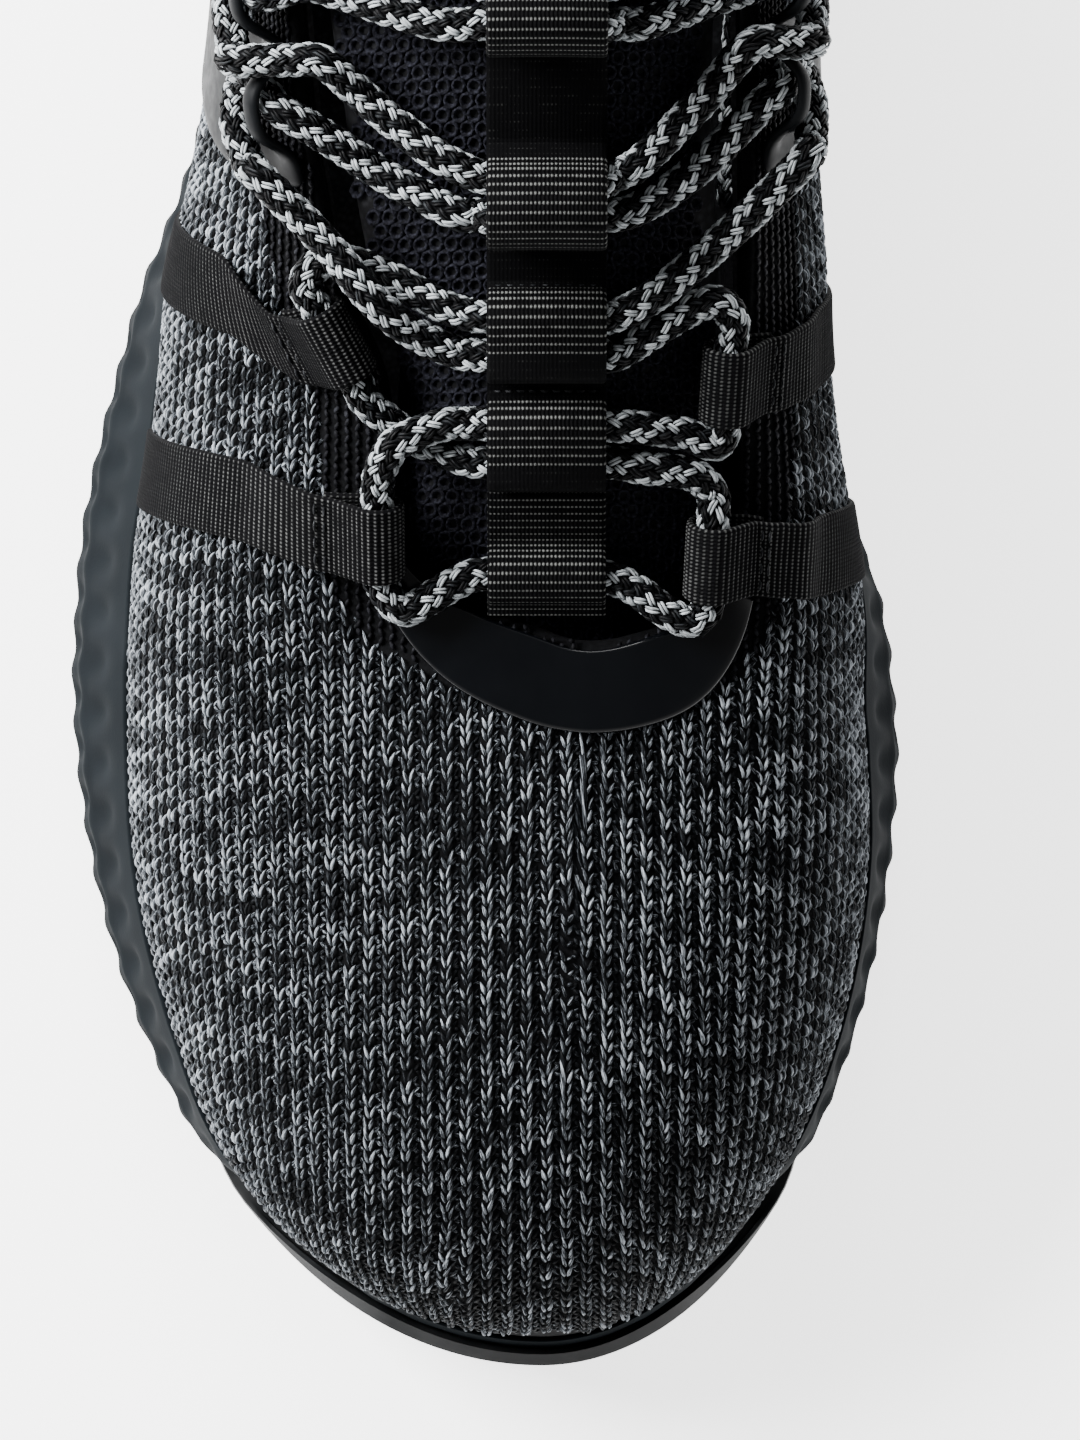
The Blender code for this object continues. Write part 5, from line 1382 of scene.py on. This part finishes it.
def outsoles():
    helpers = bpy.data.collections.new("cutters")
    bpy.context.scene.collection.children.link(helpers)
    wide, tall = (-90, 90), (-5, 60)
    pieces = (
        ("outsole_forefoot", (-20, FOREFOOT_OUTSOLE_END), (46, 58, 70, 94, 106)),
        ("outsole_heel", (HEEL_OUTSOLE_START, LENGTH + 20), (226, 238, 262, 274)),
    )
    for name, kept, grooves in pieces:
        plate = outsole_loft(f"{name}_tread", None, bpy.context.scene.collection)
        cut(plate, box_cutter(f"{name}_extent", [(wide, kept, tall)], helpers), "INTERSECT")
        bars = [(wide, (at - 1.2, at + 1.2), (-5, 1.4)) for at in grooves]
        cut(plate, box_cutter(f"{name}_grooves", bars, helpers), "DIFFERENCE")
        graph = bpy.context.evaluated_depsgraph_get()
        mesh = bpy.data.meshes.new_from_object(plate.evaluated_get(graph))
        bpy.data.objects.remove(plate)
        mesh.shade_smooth()
        mesh.set_sharp_from_angle(angle=math.radians(40))
        mesh.materials.clear()
        piece(f"{name}_tread", mesh, FINISHES["rubber"], "shoe", [name])
    for helper in list(helpers.objects):
        bpy.data.objects.remove(helper)
    bpy.data.collections.remove(helpers)


# Moulded pieces on the upper.


def rise_at_edge_distance(angles, distances):
    """The rise that lies a distance in from the upper's edge, at each angle."""
    angles, distances = np.broadcast_arrays(angles, distances)
    flat_angles, flat_distances = angles.ravel(), distances.ravel()
    each_angle = np.repeat(flat_angles[:, None], len(RISES), 1)
    each_rise = np.repeat(RISES[None], len(flat_angles), 0)
    column = UPPER.read(TO_EDGE, each_angle, each_rise)[..., 0]
    found = np.array([np.interp(d, row[::-1], RISES[::-1]) for d, row in zip(flat_distances, column)])
    return found.reshape(angles.shape)


def throat_crescent():
    first, last = -math.acos(1 - 2 * 76 / LENGTH), math.acos(1 - 2 * 92 / LENGTH)

    def place(r, c, lift):
        angle = first + (last - first) * c
        at = LENGTH / 2 * (1 - np.cos(angle))
        width = 10.0 * (1 - np.vectorize(ramp)(at, 30, 110)) + 2.5
        rise = np.minimum(rise_at_edge_distance(angle, r * width), 0.995)
        grid = UPPER.at(angle, rise, lift)[0]
        for _ in range(60):
            grid[:, 1:-1] = (grid[:, :-2] + 2 * grid[:, 1:-1] + grid[:, 2:]) / 4
        return grid

    mesh = pillow("crescent_overlay", place, 12.0, 110.0, lambda r, c: 0.3 + 0 * r, lambda r, c: 1.5 + 0 * r,
                  0.7, (12, 140))
    piece("crescent_overlay", mesh, FINISHES["gloss"], "shoe", ["throat_crescent"])


def heel_clip():
    first = angle_at(LATERAL, 232)
    ramps = np.vectorize(ramp)

    def place(r, c, lift):
        angle = first + (2 * math.pi - 2 * first) * c
        at = LENGTH / 2 * (1 - np.cos(angle))
        top = 0.2 + 0.24 * ramps(at, 236, 292)
        turned = np.where(angle > math.pi, angle - 2 * math.pi, angle)
        return UPPER.at(turned, 0.03 + r * (top - 0.03), lift)[0]

    def outer(r, c):
        rib = np.exp(-((r - 0.78) / 0.05) ** 2) + np.exp(-((r - 0.22) / 0.05) ** 2)
        return 1.65 + 0.45 * rib * np.clip(np.minimum(c, 1 - c) * 12 - 0.5, 0, 1)

    mesh = pillow("heel_cradle", place, 26.0, 150.0, lambda r, c: 0.4 + 0 * r, outer, 0.8, (26, 160))
    piece("heel_cradle", mesh, FINISHES["gloss"], "shoe", ["heel_clip"])


def lining():
    first = angle_at(LATERAL, 224)

    def place(r, c, lift):
        angle = first + (2 * math.pi - 2 * first) * c
        turned = np.where(angle > math.pi, angle - 2 * math.pi, angle)
        return UPPER.at(turned, 0.04 + r * 0.935, lift)[0]

    def back(r, c):
        angle = first + (2 * math.pi - 2 * first) * c
        depth = np.vectorize(padding_depth)(angle, 0.04 + r * 0.935)
        return -np.maximum(UPPER_THICKNESS + 2.7, UPPER_THICKNESS + depth + 5 * GAP)

    mesh = pillow("collar_lining", place, 80.0, 150.0, lambda r, c: back(r, c) - 1.0, back, 0.5, (48, 150))
    made = piece("collar_lining", mesh, FINISHES["lining"], "shoe", ["heel_lining"])


def smooth_copy(name, source, finish, levels, body="shoe", bevel=0.0):
    """A CAD node's shape with its edges rounded."""
    work = bmesh.new()
    work.from_mesh(frame["nodes"][source].data)
    bmesh.ops.remove_doubles(work, verts=work.verts, dist=2e-6)
    bmesh.ops.join_triangles(work, faces=work.faces, angle_face_threshold=0.7, angle_shape_threshold=3.2)
    points = [vertex.co.copy() for vertex in work.verts]
    work.verts.index_update()
    faces = [[vertex.index for vertex in face.verts] for face in work.faces]
    work.free()
    mesh = bpy.data.meshes.new(name)
    mesh.from_pydata(points, [], faces)
    mesh.shade_smooth()
    obj = piece(name, mesh, finish, body, [source])
    if bevel:
        modifier = obj.modifiers.new("Edges", "BEVEL")
        modifier.width = bevel * MM
        modifier.segments = 2
        modifier.limit_method = "ANGLE"
        modifier.angle_limit = math.radians(35)
    if levels:
        modifier = obj.modifiers.new("Smooth", "SUBSURF")
        modifier.levels = modifier.render_levels = levels
    return obj


# Webbing.


def fine_line(line, spacing):
    """Points of a smooth line through the given ones, evenly spaced."""
    dense = smooth_rows(line, 12)
    walked = np.concatenate([[0], np.cumsum(np.linalg.norm(np.diff(dense, axis=0), axis=-1))])
    count = max(int(walked[-1] / spacing), 4)
    even = np.linspace(0, walked[-1], count)
    points = np.stack([np.interp(even, walked, dense[:, k]) for k in range(dense.shape[1])], axis=-1)
    return points, walked[-1]


def webbing(name, line, place, width, finish, ribs, body="shoe", stands_for=(), pitch=0.85,
            thickness=WEBBING_THICKNESS):
    """A strap along a line of (distance, lift) points, with ribs across it.

    ribs gives the rib height at each distance, from 0 to 1, and so also how much painted highlight the rib
    crests carry; low values leave the strap dark as painted shade.
    """
    coarse, length = fine_line(line, 0.8)
    step = np.gradient(coarse, axis=0)
    normal = unit(np.stack([-step[:, 1], step[:, 0]], axis=-1)) * 0.5
    shares = np.array([-0.5, -0.25, 0, 0.25, 0.5])
    above, below = coarse + normal, coarse - normal
    high = np.array([[place(d, width * w, lift) for w in shares] for d, lift in above])
    low = np.array([[place(d, width * w, lift) for w in shares] for d, lift in below])
    middle, up = (high + low) / 2, unit(high - low)
    count = int(length / FINE)
    half_row = np.array([0.15, 0.45, 0.7, 0.88, 0.95, 0.985, 1]) / 2
    across = np.concatenate([-half_row[::-1], half_row])
    edge_shape = round_edge((0.5 - np.abs(across)) * width, 0.55)[None, :, None]
    at_row = np.linspace(0, len(coarse) - 1, count)
    i0 = np.minimum(at_row.astype(int), len(coarse) - 2)
    s = (at_row - i0)[:, None, None]
    j = np.interp(across, shares, np.arange(5))
    j0 = np.minimum(j.astype(int), 3)
    t = (j - j0)[None, :, None]

    def spread(values):
        rows = values[i0] * (1 - s) + values[i0 + 1] * s
        return rows[:, j0] * (1 - t) + rows[:, j0 + 1] * t

    distance = np.linspace(0, length, count)
    along_line = np.interp(distance, np.linspace(0, length, len(coarse)), coarse[:, 0])
    ribbed = np.array([ribs(d) for d in along_line])
    turn = distance / pitch
    raised = 0.16 * ribbed * (np.abs(np.sin(np.pi * turn)) - 0.5)
    ends = round_edge(np.minimum(distance, length - distance), 0.5)
    half = (thickness / 2 + raised) * ends
    centre, out = spread(middle), unit(spread(up))
    offset = out * half[:, None, None] * edge_shape
    points, faces = two_faces(centre + offset, centre - offset)
    mesh, used = array_mesh(name, points, faces)
    grids = np.broadcast_arrays(turn[:, None], across * width, ribbed[:, None], np.ones(centre.shape[:2]))
    values = np.stack(grids, axis=-1)
    paint(mesh, "Weave", np.concatenate([values.reshape(-1, 4)] * 2)[used])
    return piece(name, face_out(mesh), finish, body, stands_for), (centre, out)


def stitch_line(points, normals, length=1.9, gap=0.5):
    """Centres and normals of a row of sewing stitches along a line."""
    walked = np.concatenate([[0], np.cumsum(np.linalg.norm(np.diff(points, axis=0), axis=-1))])
    starts = np.arange(0.3, walked[-1] - length, length + gap)
    rows = starts[:, None] + np.linspace(0, length, 5)[None]
    centres = np.stack([np.interp(rows, walked, points[:, k]) for k in range(3)], axis=-1)
    made = unit(np.stack([np.interp(rows, walked, normals[:, k]) for k in range(3)], axis=-1))
    arch = np.sin(np.pi * np.linspace(0, 1, 5))[None, :, None]
    return centres + made * (-0.12 + 0.3 * arch), made


def lace_loops():
    thread = []
    for side, name in LACE_LOOPS:
        word = "lateral" if side == LATERAL else "medial"
        place, length = loop_place(side, name)
        outer = LOOP_BASE + WEBBING_THICKNESS + 0.4
        line = [(distance, LOOP_BASE) for distance in spaced(length, LOOP_EYE + 12, 10)]
        line += [(LOOP_EYE + 8.6, outer), (LOOP_EYE + 6.2, outer + 0.6), (LOOP_EYE + 4.2, outer + 2.1)]
        line += arc((LOOP_EYE, LOOP_BASE + LOOP_EYE), LOOP_EYE, 60, 270, 8)
        line += [(LOOP_EYE + 3.5, LOOP_BASE), (LOOP_EYE + 7.4, LOOP_BASE)]
        webbing(f"loop_strap_{word}_{name}", line, place, LOOP_WIDTH, FINISHES["webbing"], lambda d: 1.0,
                "shoe", [f"lace_loop_{word}_{name}"])
        for distance in (LOOP_EYE + 7.2, LOOP_EYE + 8.4):
            widths = np.linspace(-LOOP_WIDTH / 2 + 0.6, LOOP_WIDTH / 2 - 0.6, 12)
            row = np.array([place(distance, w, outer + 0.75) for w in widths])
            above = np.array([place(distance, w, outer + 1.75) for w in widths])
            thread.append(stitch_line(row, unit(above - row)))
    return thread


# Stretches of the centre strap that bulge up over the lace: there the ribs stand up and carry their painted
# highlights. Between them the ribs and highlights fade to 0.12, leaving the strap dark as painted shade.
KEEPER_LIT_ZONES = ((127.2, 133.8), (142.0, 148.0), (155.7, 165.8), (178.5, 191.0))


def keeper_ribs_and_light(at):
    for start, end in KEEPER_LIT_ZONES:
        if start - 0.4 <= at <= end:
            return 1.0
    return 0.12


def centre_webbing():
    line = [(STITCH_STATIONS[0] + 0.3, 0.8)]
    for at, swapped in CROSSINGS:
        start = at + KEEPER_FLAT[0][0]
        line += [(station, 0.8) for station in spaced(line[-1][0], start, 5)[1:-1] if start - line[-1][0] > 4]
        line += [(at + offset, lift) for offset, lift in (KEEPER_STACK if swapped else KEEPER_FLAT)]
    line += [(station, 0.8) for station in spaced(line[-1][0], TONGUE_HINGE - 2.5, 6)[1:]]
    webbing("centre_strap", line, on_centre, KEEPER_WIDTH, FINISHES["keeper"], keeper_ribs_and_light, "shoe",
            ["centre_webbing"], pitch=1.1)

    def tab_place(distance, across, height):
        return np.array((CENTRE_X + across, distance, height - 0.008 * across**2))

    webbing("bottom_tab", TAB_LINE, tab_place, KEEPER_WIDTH, FINISHES["keeper"], lambda d: 1.0, "shoe",
            ["bottom_lace_tab"], pitch=1.1)
    base = GAP + WEBBING_THICKNESS / 2
    line = [(TONGUE_HINGE + 3.0, base + 1.5), (TONGUE_HINGE + 12, base + 1.5)]
    line += [(TONGUE_END - 4, base + 5.5)]
    line += [(TONGUE_END + 1.5, base + 6.2), (TONGUE_END + 3.2, base + 4.2), (TONGUE_END + 1.8, base + 1.6)]
    line += [(TONGUE_END - 4, base), (TONGUE_HINGE + 8, base)]
    webbing("tongue_tab", line, on_centre, KEEPER_WIDTH, FINISHES["keeper"], lambda d: 1.0, "tongue_end",
            ["tongue_pull_tab"], pitch=1.1)
    base = HEEL_LOOP_BASE
    line = [(0, base + 1.5), (7, base + 1.8), (14, base + 4.6), (20, base + 6.4), (24.5, base + 5.6)]
    line += [(26.6, base + 3.0), (25.4, base + 0.2), (21, base - 0.9)]
    line += [(15, base - 0.2), (8, base), (0, base)]
    webbing("heel_tab", line, heel_place, 14.0, FINISHES["webbing"], lambda d: 1.0, "heel_loop",
            ["heel_pull_loop"])
    thread = []
    for at in (121.8, 134.6, 148.4, 166.6, 192.2):
        widths = np.linspace(-KEEPER_WIDTH / 2 + 0.6, KEEPER_WIDTH / 2 - 0.6, 12)
        row = np.array([on_centre(at, w, 1.35) for w in widths])
        above = np.array([on_centre(at, w, 2.35) for w in widths])
        thread.append(stitch_line(row, unit(above - row), 1.3, 0.3))
    return thread


def sew(threads):
    centres = np.concatenate([centre for centre, _ in threads])
    normals = np.concatenate([normal for _, normal in threads])
    sizes = np.full(len(centres), 0.42)
    tones = np.full(len(centres), 0.45)
    yarn_pieces("sewing", centres, normals, sizes, sizes, (0, 0.9, 1, 0.9, 0), tones, FINISHES["thread"],
                4000, 5)


# The tongue.

MESH_ACROSS, MESH_ALONG = 2.1, 1.85


def tongue_limits(at):
    margin = along(TONGUE_MARGIN, at)
    return throat_edge(LATERAL, at)[0] - margin, throat_edge(MEDIAL, at)[0] + margin


def tongue():
    """The padded tongue in one piece, and the spacer mesh over its face."""
    stations = np.linspace(TONGUE_START, TONGUE_END, 95)
    limits = np.array([tongue_limits(at) for at in stations])
    face = Patch(lambda at, share: tongue_point(np.interp(at, stations, limits[:, 0]) * (1 - share)
                                                + np.interp(at, stations, limits[:, 1]) * share, at),
                 stations, np.linspace(0, 1, 33))
    if face.normals[40, 16, 2] < 0:
        face.normals *= -1

    def place(r, c, lift):
        return face.at(TONGUE_START + (TONGUE_END - TONGUE_START) * r, c, lift)[0]

    def back(r, c):
        return -TONGUE_THICKNESS - 1.5 * np.clip((r * 141 - 112) / 12, 0, 1)

    mesh = pillow("tongue_pad", place, 141.0, 50.0, back, lambda r, c: -0.55 + 0 * r, 1.9, (110, 40))
    pad = piece("tongue_pad", mesh, FINISHES["lining"], None, ["tongue", "tongue_top"])
    hinge = np.array(placed(tongue_point(CENTRE_X, TONGUE_HINGE)))
    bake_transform(pad)

    generator = np.random.default_rng(9)
    turns = np.linspace(0, 2 * np.pi, 12, endpoint=False)
    slimmed = np.maximum(np.abs(np.cos(turns)) + 0.42 * np.abs(np.sin(turns)), 0.6)
    outline_across = np.cos(turns) / slimmed * 0.5
    outline_along = np.sin(turns) * 0.56
    rings = ((1.04, -0.28), (0.86, 0.12), (0.66, 0.10), (0.5, -0.16), (0.44, -0.85))
    centres = []
    for row in range(int((TONGUE_END - TONGUE_START - 3) / MESH_ALONG)):
        at = TONGUE_START + 1.5 + (row + 0.5) * MESH_ALONG
        low, high = tongue_limits(at)
        first = math.ceil((low + 1.3) / MESH_ACROSS)
        last = math.floor((high - 1.3) / MESH_ACROSS)
        centres += [((column + 0.5 * (row % 2)) * MESH_ACROSS, at) for column in range(first, last)]
    centres = np.array(centres)
    centres += 0.12 * (generator.random(centres.shape) - 0.5)
    wobble = 1 + 0.12 * (generator.random((len(centres), 12)) - 0.5)
    grid = []
    depth = []
    for size, lift in rings:
        x = centres[:, :1] + outline_across[None] * MESH_ACROSS * size * wobble * 1.06
        at = centres[:, 1:] + outline_along[None] * MESH_ALONG * size * wobble * 1.12
        low = np.interp(at, stations, limits[:, 0])
        high = np.interp(at, stations, limits[:, 1])
        share = np.clip((x - low) / (high - low), 0, 1)
        grid.append(face.at(np.clip(at, TONGUE_START, TONGUE_END), share, lift)[0])
        # Painted shade: rings sunk below the face are painted darker, 0.35 in the valley between cells and
        # black deep in the hole.
        depth.append(1.0 if lift > -0.2 else 0.35 if lift > -0.5 else 0.0)
    low = np.interp(centres[:, 1], stations, limits[:, 0])
    high = np.interp(centres[:, 1], stations, limits[:, 1])
    bottom = face.at(centres[:, 1], (centres[:, 0] - low) / (high - low), -0.9)[0]
    points = np.concatenate([np.stack(grid, axis=1).reshape(len(centres), -1, 3), bottom[:, None]], axis=1)
    each = points.shape[1]
    k = np.arange(12)
    k2 = (k + 1) % 12
    quads = np.concatenate([np.stack([r * 12 + k, r * 12 + k2, (r + 1) * 12 + k2, (r + 1) * 12 + k], axis=-1)
                            for r in range(4)])
    triangles = np.stack([48 + k, 48 + k2, np.full(12, 60)], axis=-1)
    offsets = (np.arange(len(centres)) * each)[:, None, None]
    mesh, used = array_mesh("tongue_mesh", points.reshape(-1, 3), (quads[None] + offsets).reshape(-1, 4),
                            (triangles[None] + offsets).reshape(-1, 3))
    # The painted shade of each ring, and black at the hole's bottom point.
    shade = np.concatenate([np.repeat(depth, 12), [0.0]])
    values = np.stack([np.tile(shade, len(centres))] * 3 + [np.ones(each * len(centres))], axis=-1)
    paint(mesh, "PaintedHoleShade", values[used])
    cloth = piece("tongue_mesh", mesh, FINISHES["mesh"], None)
    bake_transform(cloth)


# The lace.

CARRIERS, LAY = 12, 24.0
LIGHT_CARRIERS = (1, 1, 0, 0, 1, 1, 0, 0, 1, 1, 0, 0)


def lace():
    """A round braid over a core: each carrier passes over two and under two."""
    halves = {side: lace_route(side) for side in (LATERAL, MEDIAL)}
    route = smooth_route(halves[LATERAL][::-1] + halves[MEDIAL], 24)
    dense, length = fine_line(np.array(route), 0.5)
    heading = unit(np.gradient(dense, axis=0))
    side = np.cross(heading[0], (0, 0, 1.0))
    frames = []
    for direction in heading:
        side = side - (side @ direction) * direction
        side /= np.linalg.norm(side)
        frames.append(side)
    frames = np.array(frames)
    third = np.cross(heading, frames)
    walked = np.linspace(0, length, len(dense))
    radius = LACE_DIAMETER / 2 - 0.30

    def on_tube(z, turn, out):
        def read(values):
            return np.stack([np.interp(z, walked, values[:, k]) for k in range(3)], axis=-1)
        normal = unit(read(frames) * np.cos(turn)[..., None] + read(third) * np.sin(turn)[..., None])
        return read(dense) + normal * np.asarray(out)[..., None], normal

    row = LAY / (2 * CARRIERS)
    rate = 2 * np.pi / LAY
    slope = math.atan(2 * np.pi * radius / LAY)
    centres, normals, tones = [], [], []
    shares = np.linspace(-1.16, 1.16, 5)
    dive = np.array([-0.42, 0.1, 0.2, 0.1, -0.42])
    generator = np.random.default_rng(21)
    for direction in (1, -1):
        carrier, n = np.meshgrid(np.arange(CARRIERS), np.arange(1, int(length / row) - 2))
        if direction == 1:
            over = (n + 2 * carrier) % 4 == 0
        else:
            over = n % 4 == (2 * carrier + 1) % 4
        carrier, n = carrier[over], n[over]
        light = np.array(LIGHT_CARRIERS)[carrier]
        for pair in (-0.21, 0.21):
            z = (n[:, None] + 0.5 + shares[None]) * row - direction * pair * math.sin(slope)
            travelled = (n[:, None] + 0.5 + shares[None]) * row
            turn = 2 * np.pi * carrier[:, None] / CARRIERS + direction * rate * travelled
            turn = turn + pair * math.cos(slope) / radius
            made, made_normals = on_tube(z, turn, radius + np.broadcast_to(dive, z.shape))
            centres.append(made)
            normals.append(made_normals)
            tones.append(np.where(light == 1, 0.84, -0.02) + 0.16 * (generator.random(len(light)) - 0.5))
    centres, normals, tones = np.concatenate(centres), np.concatenate(normals), np.concatenate(tones)
    sizes = np.full(len(centres), 0.5)
    yarn_pieces("lace_braid", centres, normals, sizes, sizes * 0.9, (0, 0.85, 1, 0.85, 0), tones,
                FINISHES["lace"], 6600, 4)
    curve = bpy.data.curves.new("lace_core", "CURVE")
    curve.dimensions = "3D"
    curve.bevel_depth = (radius - 0.06) * MM
    curve.bevel_resolution = 3
    curve.use_fill_caps = True
    spline = curve.splines.new("POLY")
    core = dense[::3]
    spline.points.add(len(core) - 1)
    places = np.concatenate([to_frame(core), np.ones((len(core), 1))], axis=1)
    spline.points.foreach_set("co", places.astype(np.float32).ravel())
    piece("lace_core", curve, FINISHES["knit_base"], "shoe", ["lace"])


def carried_over():
    finishes = {
        "strobel_board": "board", "toe_puff": "stiffener", "heel_counter": "stiffener",
        "eyestay_tape_lateral": "tape", "eyestay_tape_medial": "tape", "collar_padding": "soft_foam",
        "midfoot_shank": "gloss", "aglet_lateral": "aglet", "aglet_medial": "aglet",
    }
    for name, finish in finishes.items():
        mesh = frame["nodes"][name].data
        mesh.materials.clear()
        mesh.materials.append(FINISHES[finish])
    cloth = smooth_copy("sockliner_cloth", "sockliner", FINISHES["insole"], 2)
    smooth_copy("cage_lateral", "lace_cage_lateral", FINISHES["cage"], 2)
    smooth_copy("cage_medial", "lace_cage_medial", FINISHES["cage"], 2)


def stage_light(name, place, target, size, power, colour=(1, 1, 1)):
    light = bpy.data.lights.new(name, "AREA")
    light.shape = "RECTANGLE"
    light.size, light.size_y = size
    light.energy = power
    light.color = colour
    obj = bpy.data.objects.new(name, light)
    bpy.context.scene.collection.objects.link(obj)
    obj.location = place
    obj.rotation_euler = (Vector(target) - Vector(place)).to_track_quat("-Z", "Y").to_euler()


def stage():
    mesh = bpy.data.meshes.new("floor")
    mesh.from_pydata([(-4, -4, 0), (4, -4, 0), (4, 4, 0), (-4, 4, 0)], [], [(0, 1, 2, 3)])
    floor = bpy.data.objects.new("floor", mesh)
    bpy.context.scene.collection.objects.link(floor)
    finish, _, _ = shader("white_floor", (0.93, 0.93, 0.93), 0.8, Emission_Color=(1, 1, 1, 1),
                          Emission_Strength=2.6)
    mesh.materials.append(finish)
    world = bpy.data.worlds.new("studio")
    world.use_nodes = True
    tree = world.node_tree
    tree.nodes["Background"].inputs["Strength"].default_value = 0.95
    direction = tree.nodes.new("ShaderNodeTexCoord").outputs["Generated"]
    height = node(tree, "ShaderNodeSeparateXYZ", None, Vector=direction).outputs["Z"]
    ceiling = ramp_of(tree, height, ((0.0, (1,) * 3), (0.55, (0.95,) * 3), (0.92, (0.16,) * 3)))
    tree.links.new(ceiling, tree.nodes["Background"].inputs["Color"])
    bpy.context.scene.world = world
    target = (0.0, -0.02, 0.04)
    stage_light("key", (-1.1, 0.55, 0.8), target, (0.8, 0.8), 110.0)
    stage_light("back", (-0.3, 1.4, 0.9), target, (1.0, 0.6), 35.0)
    camera = bpy.data.cameras.new("camera")
    camera.sensor_width = 36.0
    camera.lens = 284.0
    camera.clip_start, camera.clip_end = 0.05, 20.0
    obj = bpy.data.objects.new("camera", camera)
    bpy.context.scene.collection.objects.link(obj)
    obj.location = (0.0076, -0.0601, 1.6)
    bpy.context.scene.camera = obj


upper_shell()
knit_stitches()
band_stitches()
midsole()
outsoles()
throat_crescent()
heel_clip()
lining()
sew(lace_loops() + centre_webbing())
tongue()
lace()
carried_over()
stage()
